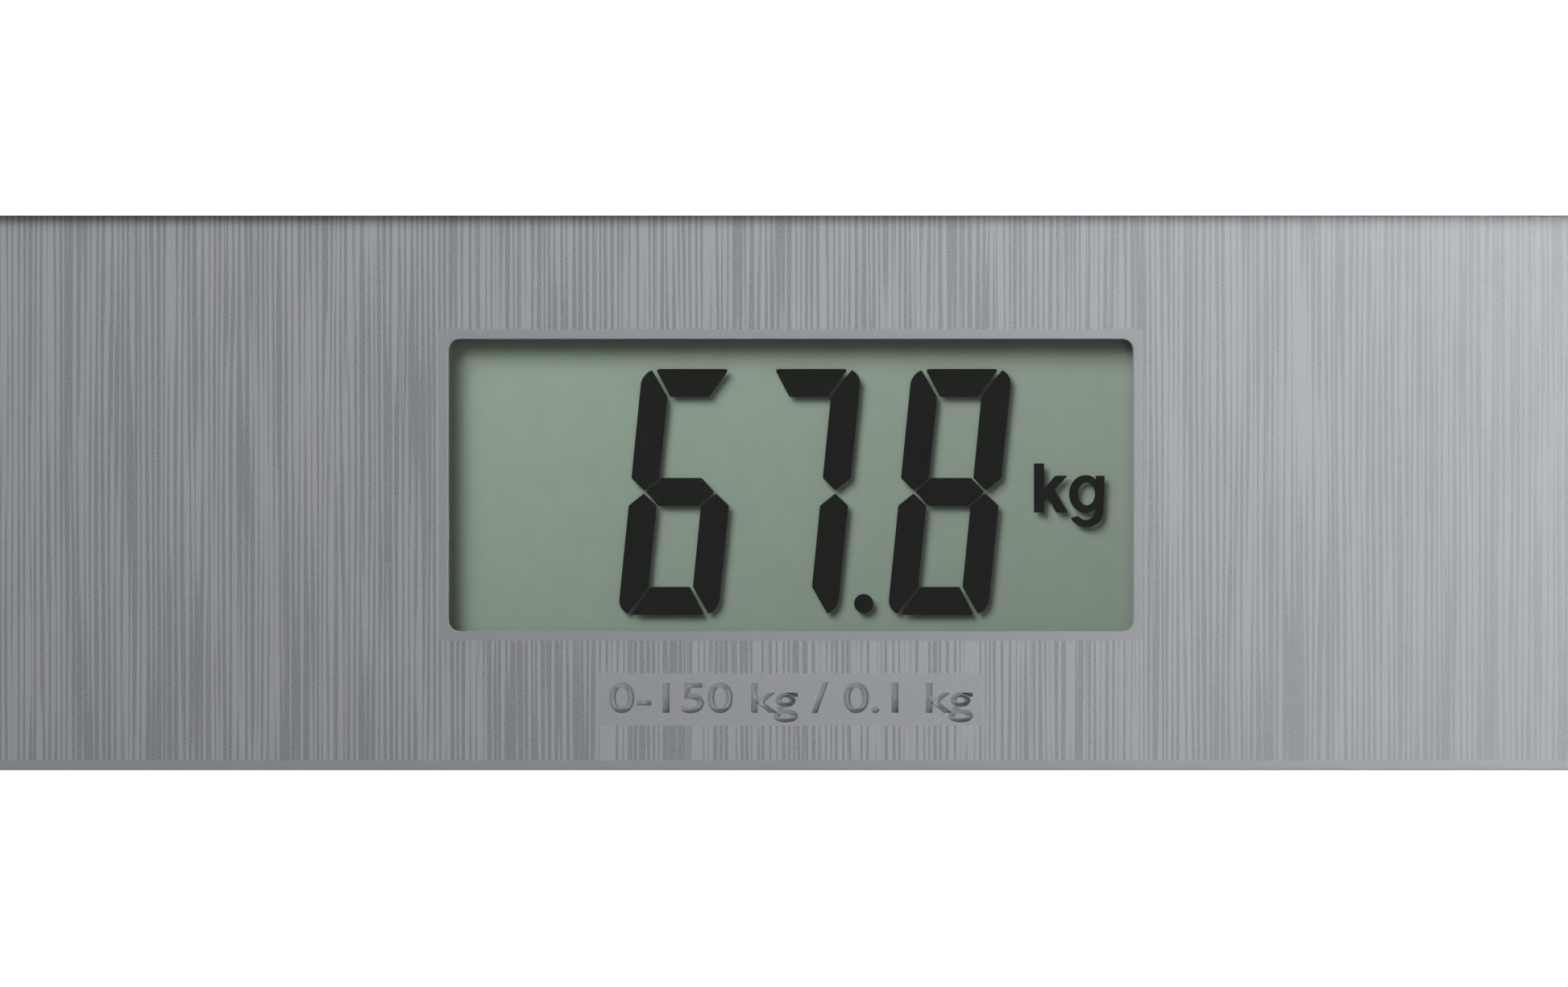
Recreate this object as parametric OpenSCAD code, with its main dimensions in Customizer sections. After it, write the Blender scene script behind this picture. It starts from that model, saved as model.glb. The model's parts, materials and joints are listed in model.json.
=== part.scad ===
// Electronic personal scale: a back-printed glass platform bonded to a ribbed tray,
// a striped display band under the glass, and four load cell feet.
// Origin: on the floor under the middle of the platform. +Y points to the display, +Z up.

/* [Platform] */
// Width of the glass platform
platform_w = 300; // [250:1:360]
// Depth of the glass platform
platform_d = 300; // [250:1:360]
// Corner radius of the glass
corner_r = 20; // [14:1:30]
// Thickness of the toughened glass
glass_t = 6; // [4:0.5:10]
// Bevel ground on the edges of the glass
glass_bevel = 0.8; // [0.2:0.1:1.5]
// Thickness of the white print on the back of the glass
print_t = 0.2; // [0.1:0.05:0.4]
// Thickness of the foam tape between the print and the tray
tape_t = 0.6; // [0.4:0.1:1]
// Width of the foam tape along the edge
tape_w = 6; // [3:0.5:8]

/* [Display band] */
// Depth of the striped band that shows through the glass
band_d = 56.2; // [47:0.2:70]
// Distance from the rear edge of the glass to the band
band_inset = 30; // [25:1:40]
// White border left between the ends of the band and the sides of the glass
band_border = 8; // [7:0.5:14]
// Thickness of the striped fascia
fascia_t = 1.2; // [0.8:0.1:1.6]
// Width of the fascia's edge that is hidden under the print
fascia_lap = 1.5; // [1:0.1:2]
// Thickness of the gasket, which sets the fascia back under the print
gasket_t = 1; // [0.8:0.1:1.4]
// Width of the gasket
gasket_w = 1; // [0.6:0.1:1.2]
// Width of the display window in the fascia
window_w = 69.4; // [57:0.2:84]
// Depth of the display window in the fascia
window_d = 29.6; // [28:0.2:34]
// Corner radius of the display window
window_r = 1.1; // [0.5:0.1:3]
// Distance of the window behind the middle of the band
window_shift = 0.8; // [-2:0.1:2]

/* [Liquid crystal panel] */
// Thickness of each glass plate of the panel
lcd_glass_t = 0.8; // [0.5:0.05:0.9]
// Thickness of the layer that holds the segments
segment_t = 0.1; // [0.05:0.05:0.2]
// Thickness of the reflector film
reflector_t = 0.2; // [0.1:0.05:0.3]
// Width of panel hidden under the fascia on each side of the window
lcd_lap = 3.3; // [2:0.1:4]
// Depth of the contact ledge at the rear of the front plate
lcd_ledge = 3; // [2.4:0.1:4]
// Height of a figure
digit_h = 25; // [18:0.5:26]
// Width of a figure
digit_w = 10.2; // [8:0.1:11]
// Width of a segment's stroke
stroke = 2.85; // [1.5:0.05:3]
// Lean of the figures in degrees
digit_lean = 5.7; // [0:0.1:10]

/* [Tray] */
// Distance that the glass overhangs the tray on each side
overhang = 4; // [2:0.5:8]
// Height of the tray above the floor
stand_h = 5; // [4:0.5:7]
// Height of the tray
tray_h = 13.2; // [13.2:0.1:16]
// Thickness of the tray's side walls
wall_t = 2; // [1.6:0.1:3]
// Thickness of the tray's floor
floor_t = 2; // [1.8:0.1:2.4]
// Width of the rim inside the tray's top edge
rim_w = 8; // [7:0.5:10]
// Chamfer along the tray's bottom edge
tray_chamfer = 2; // [0.5:0.1:3]
// Thickness of the ribs
rib_t = 2; // [1.5:0.1:3]
// Distance between the cross ribs
rib_pitch = 46; // [35:1:60]

/* [Electronics] */
// Width of the circuit board beside the display's holder, for its screws
board_ear = 7.6; // [7:0.1:12]
// Depth of the circuit board
board_d = 46; // [40:1:48]
// Thickness of the circuit board
board_t = 1.6; // [1:0.1:1.6]
// Height of the posts under the board
post_h = 3.9; // [3.9:0.1:4.4]
// Radius of the unit button's stem
button_r = 3.7; // [2.5:0.1:5]
// Travel of the unit button
button_travel = 0.7; // [0.3:0.1:0.8]

/* [Battery bay] */
// Radius of a battery cell
cell_r = 5.25; // [4.4:0.05:5.3]
// Length of a battery cell with its nub
cell_l = 44.5; // [37:0.5:50.5]
// Room for the coil spring of each cell
spring_room = 5.2; // [4:0.1:7]
// Thickness of the battery door
door_t = 1.4; // [1.2:0.1:1.6]
// Radius of the door's hinge pins
pin_r = 0.8; // [0.6:0.05:1]

/* [Feet] */
// Distance from the side of the tray to the middle of a foot
foot_inset = 32; // [30:1:45]
// Radius of the pocket for the load cell
pocket_r = 25; // [25:0.5:26]
// Side length of the load cell
load_cell_w = 34; // [28:0.5:34]
// Thickness of the load cell's steel plate
load_cell_t = 1.4; // [1.1:0.1:1.5]
// Radius of the rubber pad
pad_r = 17; // [12:0.5:19]
// Height of the rubber pad
pad_h = 3; // [2.6:0.1:3.4]
// Travel of a foot under load
foot_travel = 0.6; // [0.2:0.1:0.8]
// Thickness of the retaining ring
retainer_t = 1; // [0.8:0.1:1.2]

/* [Leads] */
// Radius of a lead's sheath
lead_r = 1; // [0.6:0.1:1.2]

/* [Hidden] */

$fn = 64;
eps = 0.01;
slack = 0.3; // clearance round pieces that are dropped into place
running = 0.08; // radial clearance of the hinge pins
snug = 0.05; // radial clearance of screws and pressed rings

// Heights above the floor, from the tray upwards
tray_z = stand_h;
floor_z = tray_z + floor_t;
tray_top = tray_z + tray_h;
print_z = tray_top + tape_t;
glass_z = print_z + print_t;
fascia_top = print_z - gasket_t;
fascia_z = fascia_top - fascia_t;

// Tray outline
tray_w = platform_w - 2 * overhang;
tray_d = platform_d - 2 * overhang;
tray_r = corner_r - overhang;
hall_w = tray_w - 2 * wall_t;
hall_d = tray_d - 2 * wall_t;
rim_h = 3.2;

// Band and fascia
band_w = platform_w - 2 * band_border;
band_y1 = platform_d / 2 - band_inset;
band_y0 = band_y1 - band_d;
band_y = (band_y0 + band_y1) / 2;
fascia_w = band_w + 2 * fascia_lap;
fascia_d = band_d + 2 * fascia_lap;
seat_w = 3;
window_y = band_y + window_shift;

// Liquid crystal panel, from the fascia downwards
lcd_top = fascia_z;
segment_top = lcd_top - lcd_glass_t;
rear_glass_top = segment_top - segment_t;
reflector_top = rear_glass_top - lcd_glass_t;
reflector_z = reflector_top - reflector_t;
lcd_w = window_w + 2 * lcd_lap;
lcd_d = window_d + 2 * lcd_lap;
holder_wall = 2.2;
panel_slack = 0.2;
zebra_d = 2;
holder_in_w = lcd_w + 2 * panel_slack;
holder_w = holder_in_w + 2 * holder_wall;

// Circuit board
board_w = holder_w + 2 * board_ear;
board_z = floor_z + post_h;
board_top = board_z + board_t;
post_x = board_w / 2 - 4;
post_y = board_d / 2 - 4;
post_r = 3;
board_screw_r = 1.25;
board_screw_l = 4;
screw_head_r = 2.4;
screw_head_h = 1.4;

// Unit button and its switch, under the board
button_x = 30;
button_y = band_y - 12;
button_flange_r = button_r + 1.5;
button_dish_r = button_r + 3.3;
button_dish_h = 0.8;
button_bottom = tray_z + 0.2;
flange_z = floor_z + 0.05;
flange_top = floor_z + 1.3;
switch_w = 6;
switch_z = flange_top + button_travel + 0.2;
plunger_r = 1.6;
plunger_gap = 0.1;
plunger_top = switch_z + 0.7;

// Battery bay; the door swings on pins along its front edge
cell_gap = 0.6;
latch_room = 1.9;
contact_t = 0.4;
bay_wall = 1.6;
bay_w = cell_l + spring_room + 2 * contact_t;
bay_d = 4 * cell_r + 3 * cell_gap + latch_room;
bay_front = 17; // distance of the bay in front of the band
bay_y1 = band_y0 - bay_front;
bay_y0 = bay_y1 - bay_d;
bay_top = tray_z + door_t + 0.2 + 2 * cell_r + 0.1;
cell_z = tray_z + door_t + 0.2 + cell_r;
cell_y = [bay_y0 + cell_gap + cell_r, bay_y0 + 2 * cell_gap + 3 * cell_r];
knuckle_r = 1.6;
hinge_y = bay_y0 - 2.1;
hinge_z = tray_z + knuckle_r;
door_w = bay_w - 0.6;
door_y1 = bay_y1 + 1.4;
stop_z = tray_z + door_t + 0.2;
pin_l = 1.6;
hinge_block_h = 3.6;
dip_r = 9;
dip_h = 0.9;
hinge_block_w = door_w + 2 * pin_l + 5;

// Feet
foot_x = tray_w / 2 - foot_inset;
foot_y = tray_d / 2 - foot_inset;
FEET = [[-1, 1], [1, 1], [-1, -1], [1, -1]];
pocket_wall = 2;
pocket_top = tray_z + 7;
pocket_roof = 1.6;
land_h = 1.2;
cell_top = pocket_top - land_h;
cell_bottom = cell_top - load_cell_t;
flange_bottom = tray_z + retainer_t + slack;
cup_flange_t = 1.1;
cup_flange_r = pocket_r - 0.8;
cup_r = pocket_r - 3.1;
retainer_in = cup_r + 0.4;
retainer_out = pocket_r + 2.5;
cup_bottom = 2;
boss_r = 4;
cushion_rest = 0.8; // what is left of the cushion at full travel
boss_top = cell_bottom - foot_travel - cushion_rest;
cell_screw_x = load_cell_w / 2 - 4.5;
cell_screw_r = 1.2;
cell_screw_head = 1;
land_w = 5;
tongue_w = 12.8;
slot_w = 1.6;

// Ribs, the leads and their ways through the ribs
lead_way = 3.6;
lead_way_h = 5.2;
lead_z = floor_z + lead_r + 0.3;
lead_bend = 1.2;
lead_end = 4; // straight stretch before a lead meets the board
lead_run = 14; // distance from the board at which the leads turn
rear_lead_y = band_y + 12;
front_lead_y = band_y - 14;
rib_y0 = -hall_d / 2 + rib_pitch;
long_rib_x = 62;

// ---------- shared shapes ----------

// Rectangle with round corners
module round_rect(w, d, r) {
  square([w - 2 * r, d], center = true);
  square([w, d - 2 * r], center = true);
  for (x = [-1, 1], y = [-1, 1])
    translate([x * (w / 2 - r), y * (d / 2 - r)]) circle(r);
}

module round_plate(w, d, r, h) {
  linear_extrude(h) round_rect(w, d, r);
}

// Plate with round corners and chamfers along its bottom and top edges
module bevelled_plate(w, d, r, h, low, high) {
  module side(half)
    polygon([[-half + low, 0], [half - low, 0], [half, low], [half, h - high],
             [half - high, h], [-half + high, h], [-half, h - high], [-half, low]]);
  translate([-w / 2 + r, 0, 0]) rotate([90, 0, 90]) linear_extrude(w - 2 * r) side(d / 2);
  translate([0, d / 2 - r, 0]) rotate([90, 0, 0]) linear_extrude(d - 2 * r) side(w / 2);
  for (x = [-1, 1], y = [-1, 1])
    translate([x * (w / 2 - r), y * (d / 2 - r), 0])
      rotate_extrude()
        polygon([[0, 0], [r - low, 0], [r, low], [r, h - high], [r - high, h], [0, h]]);
}

module box_between(low, high) {
  translate(low) cube(high - low);
}

// Pan head screw along +Z with its head's seat at z = 0; turned over it points down
module pan_screw(r, length, head_r, head_h) {
  difference() {
    rotate_extrude()
      polygon([[0, -head_h], [head_r - 0.5, -head_h], [head_r, -head_h + 0.5], [head_r, 0],
               [r, 0], [r, length - 0.4], [r - 0.4, length], [0, length]]);
    for (turn = [0, 90])
      rotate([0, 0, turn])
        translate([-head_r * 0.6, -0.25, -head_h - 1]) cube([head_r * 1.2, 0.5, 1 + head_h / 2]);
  }
}

function unit(v) = v / norm(v);

// Points of a round bend at b, on the way from a to c
function bend(a, b, c, r, n) =
  let (p = b + r * unit(a - b), q = b + r * unit(c - b))
    [for (i = [0:n]) let (t = i / n) (1 - t) * (1 - t) * p + 2 * (1 - t) * t * b + t * t * q];

// Route through the points, with its corners rounded
function route(points, r, n = 4) = [
  points[0],
  for (i = [1:len(points) - 2]) each bend(points[i - 1], points[i], points[i + 1], r, n),
  points[len(points) - 1]
];

// Round tube along a path; across is any direction that the path never takes
module tube(path, r, across, sides = 8) {
  last = len(path) - 1;
  rings = [
    for (i = [0:last])
      let (
        along = unit(path[min(i + 1, last)] - path[max(i - 1, 0)]),
        u = unit(cross(along, across)),
        v = cross(u, along)
      )
        for (k = [0:sides - 1]) path[i] + r * (cos(360 * k / sides) * u + sin(360 * k / sides) * v)
  ];
  polyhedron(
    points = rings,
    faces = [
      [for (k = [0:sides - 1]) sides - 1 - k],
      [for (k = [0:sides - 1]) last * sides + k],
      for (i = [0:last - 1], k = [0:sides - 1])
        let (a = i * sides + k, b = i * sides + (k + 1) % sides) [a, b, b + sides, a + sides]
    ],
    convexity = 6
  );
}

// Puts a piece at a foot, turned so that its +Y side faces the way the lead leaves
module at_foot(side) {
  turn = side.y < 0 ? 0 : 90 * side.x;
  translate([side.x * foot_x, side.y * foot_y, 0]) rotate([0, 0, turn]) children();
}

// ---------- glass and band ----------

module glass_platform() {
  color([0.80, 0.90, 0.88, 0.5])
    translate([0, 0, glass_z])
      bevelled_plate(platform_w, platform_d, corner_r, glass_t, glass_bevel, glass_bevel);
}

module back_print() {
  edge = glass_bevel + 0.2;
  color("white")
    difference() {
      translate([0, 0, print_z])
        round_plate(platform_w - 2 * edge, platform_d - 2 * edge, corner_r - edge, print_t);
      translate([-band_w / 2, band_y0, print_z - 1]) cube([band_w, band_d, print_t + 2]);
    }
}

// Room that the fascia and its gasket take in the tray and in the tape
module fascia_room(z, h) {
  translate([-fascia_w / 2 - 0.2, band_y - fascia_d / 2 - 0.2, z])
    cube([fascia_w + 0.4, fascia_d + 0.4, h]);
}

module bonding_tape() {
  color([0.92, 0.92, 0.90])
    difference() {
      union() {
        difference() {
          translate([0, 0, tray_top])
            round_plate(tray_w - 1, tray_d - 1, tray_r - 0.5, tape_t);
          translate([0, 0, tray_top - 1])
            round_plate(tray_w - 1 - 2 * tape_w, tray_d - 1 - 2 * tape_w,
                        tray_r - 0.5 - tape_w, tape_t + 2);
        }
        for (y = [band_y0 - fascia_lap - wall_t - 0.2, band_y1 + fascia_lap + 0.2])
          translate([-hall_w / 2, y, tray_top]) cube([hall_w, wall_t, tape_t]);
      }
      fascia_room(tray_top - 1, tape_t + 2);
    }
}

module display_gasket() {
  color([0.10, 0.10, 0.11])
    translate([0, band_y, fascia_top])
      difference() {
        translate([-fascia_w / 2, -fascia_d / 2, 0]) cube([fascia_w, fascia_d, gasket_t]);
        translate([-fascia_w / 2 + gasket_w, -fascia_d / 2 + gasket_w, -1])
          cube([fascia_w - 2 * gasket_w, fascia_d - 2 * gasket_w, gasket_t + 2]);
      }
}

module display_fascia() {
  color([0.58, 0.59, 0.61])
    difference() {
      translate([-fascia_w / 2, band_y - fascia_d / 2, fascia_z])
        cube([fascia_w, fascia_d, fascia_t]);
      translate([0, window_y, fascia_z - 1]) round_plate(window_w, window_d, window_r, fascia_t + 2);
    }
}

// ---------- liquid crystal panel ----------

module lcd_front_glass() {
  color([0.85, 0.90, 0.88, 0.4])
    translate([-lcd_w / 2, window_y - lcd_d / 2, segment_top])
      cube([lcd_w, lcd_d + lcd_ledge, lcd_glass_t]);
}

module lcd_rear_glass() {
  color([0.80, 0.86, 0.82, 0.4])
    translate([-lcd_w / 2, window_y - lcd_d / 2, reflector_top])
      cube([lcd_w, lcd_d, lcd_glass_t]);
}

module lcd_reflector() {
  color([0.55, 0.61, 0.55])
    translate([-lcd_w / 2, window_y - lcd_d / 2, reflector_z]) cube([lcd_w, lcd_d, reflector_t]);
}

// Segments of one figure: outlines drawn upright from the figure's lower left corner
segment_gap = 0.37;
outer_r = 1.6;
tip = 1.25;

function lean(points, x) = [for (p = points) [x + p.x + p.y * tan(digit_lean), p.y]];
function flip_x(points) = [for (p = points) [digit_w - p.x, p.y]];
function flip_y(points) = [for (p = points) [p.x, digit_h - p.y]];

// The upper left upright, with its outer end rounded
upright = [
  [0, digit_h / 2 + segment_gap / 2 + tip],
  [stroke / 2, digit_h / 2 + segment_gap / 2],
  [stroke, digit_h / 2 + segment_gap / 2 + tip],
  [stroke, digit_h - stroke],
  for (a = [115:13:180]) [outer_r * (1 + cos(a)), digit_h - outer_r * (1 - sin(a))]
];
// The top bar
top_bar = [
  [stroke + segment_gap, digit_h - stroke],
  [outer_r - 0.4 + segment_gap, digit_h - 0.3],
  [outer_r - 0.1 + segment_gap, digit_h],
  [digit_w - outer_r + 0.1 - segment_gap, digit_h],
  [digit_w - outer_r + 0.4 - segment_gap, digit_h - 0.3],
  [digit_w - stroke - segment_gap, digit_h - stroke]
];
// The middle bar
middle_bar = [
  for (s = [[stroke / 2 + 0.2, 0], [stroke + 0.2, stroke / 2]]) [s.x, digit_h / 2 + s.y],
  for (s = [[stroke + 0.2, stroke / 2], [stroke / 2 + 0.2, 0], [stroke + 0.2, -stroke / 2]])
    [digit_w - s.x, digit_h / 2 + s.y],
  [stroke + 0.2, digit_h / 2 - stroke / 2]
];

// Letters a to g name the segments in the usual way
function segment(letter) =
  letter == "a" ? top_bar :
  letter == "b" ? flip_x(upright) :
  letter == "c" ? flip_x(flip_y(upright)) :
  letter == "d" ? flip_y(top_bar) :
  letter == "e" ? flip_y(upright) :
  letter == "f" ? upright :
  middle_bar;

module figure(letters, x) {
  for (letter = letters) polygon(lean(segment(letter), x));
}

figure_x = [-17.6, -5.5, 9.8];
figure_y = -13.2;
point_x = 7.4;
point_r = 0.96;
unit_h = 5;
unit_x = 24.7;

// The unit sign, drawn with strokes 1 mm wide
module unit_sign() {
  square([1.05, unit_h]);
  polygon([[1, 1.3], [2.1, 2.5], [3.35, 0], [2.05, 0], [1.3, 1.55]]);
  polygon([[1, 1.6], [2.9, 3.75], [1.6, 3.75], [1, 2.9]]);
  difference() {
    translate([5.3, 1.95]) circle(1.85);
    translate([5.3, 1.95]) circle(0.9);
  }
  translate([6.2, -0.2]) square([1, 4.0]);
  difference() {
    translate([5.4, -0.1]) circle(1.8);
    translate([5.4, -0.1]) circle(0.85);
    translate([3, -0.1]) square([5, 3]);
    translate([3, -2.2]) square([1.1, 2.3]);
  }
}

module lcd_segments() {
  color([0.13, 0.14, 0.13])
    translate([0, window_y, rear_glass_top])
      linear_extrude(segment_t) {
        translate([0, figure_y]) {
          figure("acdefg", figure_x[0]);
          figure("abc", figure_x[1]);
          figure("abcdefg", figure_x[2]);
          translate([point_x, point_r + 0.2]) circle(point_r);
        }
        translate([unit_x, -2.8]) unit_sign();
      }
}

// Frame round the panel, with a shelf under the rear glass and a slot for the connector
module lcd_holder() {
  in_d = lcd_d + lcd_ledge + 2 * panel_slack;
  shelf = 1.5;
  color([0.15, 0.15, 0.16])
    translate([0, window_y, 0])
      difference() {
        translate([-holder_w / 2, -lcd_d / 2 - panel_slack - holder_wall, board_top])
          cube([holder_w, in_d + 2 * holder_wall, fascia_z - board_top]);
        translate([-holder_in_w / 2, -lcd_d / 2 - panel_slack, reflector_z])
          cube([holder_in_w, in_d, fascia_z]);
        translate([-holder_in_w / 2 + shelf, -lcd_d / 2 - panel_slack + shelf, board_top - 1])
          cube([holder_in_w - 2 * shelf, in_d - 2 * shelf, fascia_z]);
        translate([-holder_in_w / 2 + shelf, lcd_d / 2 + 0.2, board_top - 1])
          cube([holder_in_w - 2 * shelf, lcd_ledge, fascia_z]);
      }
}

module zebra_strip() {
  color([0.85, 0.75, 0.78])
    translate([-lcd_w / 2 + 2, window_y + lcd_d / 2 + 0.5, board_top])
      cube([lcd_w - 4, zebra_d, segment_top - board_top]);
}

// ---------- electronics ----------

module on_posts() {
  for (x = [-post_x, post_x], y = [-post_y, post_y]) translate([x, band_y + y, 0]) children();
}

module main_board() {
  color([0.10, 0.38, 0.20])
    difference() {
      translate([0, band_y, board_z]) round_plate(board_w, board_d, 1.5, board_t);
      on_posts() translate([0, 0, board_z - 1]) cylinder(r = board_screw_r + 0.15, h = board_t + 2);
    }
}

module board_screws() {
  color([0.75, 0.75, 0.78])
    on_posts()
      translate([0, 0, board_top]) rotate([180, 0, 0])
        pan_screw(board_screw_r, board_screw_l, screw_head_r, screw_head_h);
}

// Small parts soldered under the board: capacitors, a crystal and chip resistors
module board_parts() {
  translate([0, band_y, board_z]) {
    color([0.72, 0.73, 0.75]) {
      translate([-30, 8, -2.6]) cylinder(r = 2.5, h = 2.6);
      translate([-22, 8, -2.6]) cylinder(r = 2.5, h = 2.6);
      translate([-34, -6, -1.8]) cube([10, 4, 1.8]);
    }
    color([0.12, 0.12, 0.13])
      for (i = [0:5]) translate([-18 + 5 * i, -15, -0.7]) cube([2, 1.25, 0.7]);
    color([0.70, 0.60, 0.45])
      for (i = [0:4]) translate([12 + 4 * i, 12, -0.9]) cube([1.6, 0.9, 0.9]);
  }
}

module controller_blob() {
  blob_r = 7;
  blob_h = 1.7;
  color([0.08, 0.08, 0.09])
    translate([0, band_y, board_z])
      mirror([0, 0, 1])
        rotate_extrude()
          polygon([[0, 0], for (a = [0:10:90]) [blob_r * cos(a), blob_h * sin(a)]]);
}

module at_button() {
  translate([button_x, button_y, 0]) children();
}

module switch_body() {
  color([0.16, 0.16, 0.18])
    at_button()
      difference() {
        translate([-switch_w / 2, -switch_w / 2, switch_z])
          cube([switch_w, switch_w, board_z - switch_z]);
        translate([0, 0, switch_z - 1])
          cylinder(r = plunger_r + plunger_gap, h = plunger_top + button_travel + 0.1 - switch_z + 1);
      }
}

module switch_plunger() {
  color([0.80, 0.20, 0.15])
    at_button() translate([0, 0, flange_top]) cylinder(r = plunger_r, h = plunger_top - flange_top);
}

module unit_button() {
  color([0.55, 0.56, 0.58])
    at_button()
      rotate_extrude()
        polygon([[0, button_bottom], [button_r - 0.5, button_bottom], [button_r, button_bottom + 0.5],
                 [button_r, flange_z], [button_flange_r, flange_z],
                 [button_flange_r, flange_top], [0, flange_top]]);
}

// ---------- tray ----------

// Walls that carry the fascia, along the front and rear edges of the band
module seat_walls() {
  for (side = [-1, 1])
    translate([-hall_w / 2, 0, tray_z]) {
      edge = band_y + side * (fascia_d / 2 + 0.2 + wall_t);
      inner = band_y + side * (fascia_d / 2 - seat_w);
      translate([0, min(edge, inner), 0]) cube([hall_w, abs(edge - inner), tray_h]);
    }
}

module ribs() {
  for (y = [rib_y0:rib_pitch:bay_y0 - 14])
    translate([-hall_w / 2, y - rib_t / 2, tray_z]) cube([hall_w, rib_t, tray_h]);
  for (x = [-long_rib_x, long_rib_x])
    translate([x - rib_t / 2, -hall_d / 2, tray_z]) cube([rib_t, hall_d / 2 + band_y0, tray_h]);
  translate([-rib_t / 2, -hall_d / 2, tray_z]) cube([rib_t, hall_d / 2 + bay_y0 - 3, tray_h]);
}

module pocket_bodies() {
  for (side = FEET)
    at_foot(side)
      translate([0, 0, tray_z])
        cylinder(r = pocket_r + pocket_wall, h = pocket_top + pocket_roof - tray_z);
}

// Holes of the pockets: the room for the cell and the cup, and the step for the ring
module pocket_cuts() {
  for (side = FEET)
    at_foot(side) {
      difference() {
        translate([0, 0, tray_z - 1]) cylinder(r = pocket_r, h = pocket_top - tray_z + 1);
        for (x = [-1, 1]) {
          translate([x * cell_screw_x, 0, cell_top]) cylinder(r = land_w / 2, h = land_h + 1);
          for (y = [-1, 1])
            translate([x * (load_cell_w / 2 - land_w / 2), y * (load_cell_w / 2 - land_w / 2),
                       cell_top + land_h / 2 + 0.5])
              cube([land_w, land_w, land_h + 1], center = true);
        }
      }
      translate([0, 0, tray_z - 1]) cylinder(r = retainer_out + snug, h = retainer_t + 1);
      for (x = [-1, 1])
        translate([x * cell_screw_x, 0, cell_top - 1])
          cylinder(r = cell_screw_r + snug, h = land_h + 2);
      translate([-lead_way / 2, pocket_r - 1, pocket_top - 4])
        cube([lead_way, pocket_wall + 2, 4]);
    }
}

module bay_body() {
  box_between([-bay_w / 2 - bay_wall, bay_y0 - bay_wall, tray_z],
              [bay_w / 2 + bay_wall, bay_y1 + bay_wall, max(tray_top, bay_top + 1)]);
  box_between([-hinge_block_w / 2, hinge_y - knuckle_r - slack - 1.4, tray_z],
              [hinge_block_w / 2, bay_y0, floor_z + hinge_block_h]);
}

module bay_cuts() {
  box_between([-bay_w / 2, bay_y0, tray_z - 1], [bay_w / 2, bay_y1, bay_top]);
  box_between([-door_w / 2 - slack, hinge_y, tray_z - 1],
              [door_w / 2 + slack, door_y1 + slack, stop_z]);
  box_between([-door_w / 2 - slack, hinge_y, tray_z - 1],
              [door_w / 2 + slack, bay_y0 + 1, hinge_z + knuckle_r + slack]);
  translate([-door_w / 2 - slack, hinge_y, hinge_z]) rotate([0, 90, 0])
    cylinder(r = knuckle_r + slack, h = door_w + 2 * slack);
  box_between([-door_w / 2 - slack, hinge_y - knuckle_r - slack, tray_z - 1],
              [door_w / 2 + slack, hinge_y, hinge_z]);
  translate([-door_w / 2 - pin_l - 0.6, hinge_y, hinge_z]) rotate([0, 90, 0])
    cylinder(r = pin_r + running, h = door_w + 2 * pin_l + 1.2);
  // finger dip beside the latch
  translate([0, door_y1 + 1, tray_z - 1]) cylinder(r = dip_r, h = 1 + dip_h);
  // ways out for the two battery leads
  for (side = [-1, 1])
    translate([side * (bay_w / 2 - 0.2), cell_y[0], cell_z]) rotate([0, side * 90, 0])
      cylinder(r = lead_r + 0.2, h = bay_wall + 0.4);
}

// Ways for the leads through the ribs and the front seat wall
module lead_ways() {
  for (x = [-foot_x, foot_x])
    box_between([x - lead_way / 2, -foot_y + pocket_r + pocket_wall + 1, floor_z],
                [x + lead_way / 2, band_y0 + 4, floor_z + lead_way_h]);
  for (side = [-1, 1])
    box_between([battery_way_x(side) - lead_way / 2, bay_y1 + 4, floor_z],
                [battery_way_x(side) + lead_way / 2, band_y0 + 4, floor_z + lead_way_h]);
}

function battery_way_x(side) = side * (bay_w / 2 + 8);

label_w = 62;
label_d = 28;
label_t = 0.15;
label_y = -40;

module base_tray() {
  color([0.90, 0.90, 0.89])
    difference() {
      union() {
        difference() {
          translate([0, 0, tray_z])
            bevelled_plate(tray_w, tray_d, tray_r, tray_h, tray_chamfer, 0);
          translate([0, 0, floor_z])
            round_plate(hall_w, hall_d, tray_r - wall_t, tray_h);
        }
        intersection() {
          translate([0, 0, tray_z])
            round_plate(tray_w - wall_t, tray_d - wall_t, tray_r - wall_t / 2, tray_h);
          union() {
            difference() {
              box_between([-tray_w, -tray_d, tray_top - rim_h], [tray_w, tray_d, tray_top]);
              box_between([-hall_w / 2 + rim_w, -hall_d / 2 + rim_w, tray_top - rim_h - 1],
                          [hall_w / 2 - rim_w, hall_d / 2 - rim_w, tray_top + 1]);
            }
            difference() {
              union() {
                seat_walls();
                ribs();
              }
              box_between([-tray_w, -tray_d, 0], [tray_w, tray_d, floor_z - 1]);
            }
          }
        }
        pocket_bodies();
        bay_body();
        on_posts() translate([0, 0, tray_z + 1]) cylinder(r = post_r, h = board_z - tray_z - 1);
      }
      fascia_room(fascia_z, tray_h);
      pocket_cuts();
      bay_cuts();
      lead_ways();
      on_posts()
        translate([0, 0, board_top - board_screw_l - 0.5])
          cylinder(r = board_screw_r + snug, h = board_screw_l);
      at_button() {
        translate([0, 0, tray_z - 1]) cylinder(r = button_r + slack, h = floor_t + 2);
        translate([0, 0, tray_z - 1]) cylinder(r = button_dish_r, h = 1 + button_dish_h);
      }
      translate([0, label_y, tray_z - 1]) round_plate(label_w + 0.4, label_d + 0.4, 2.2, 1.2);
    }
}

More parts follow.
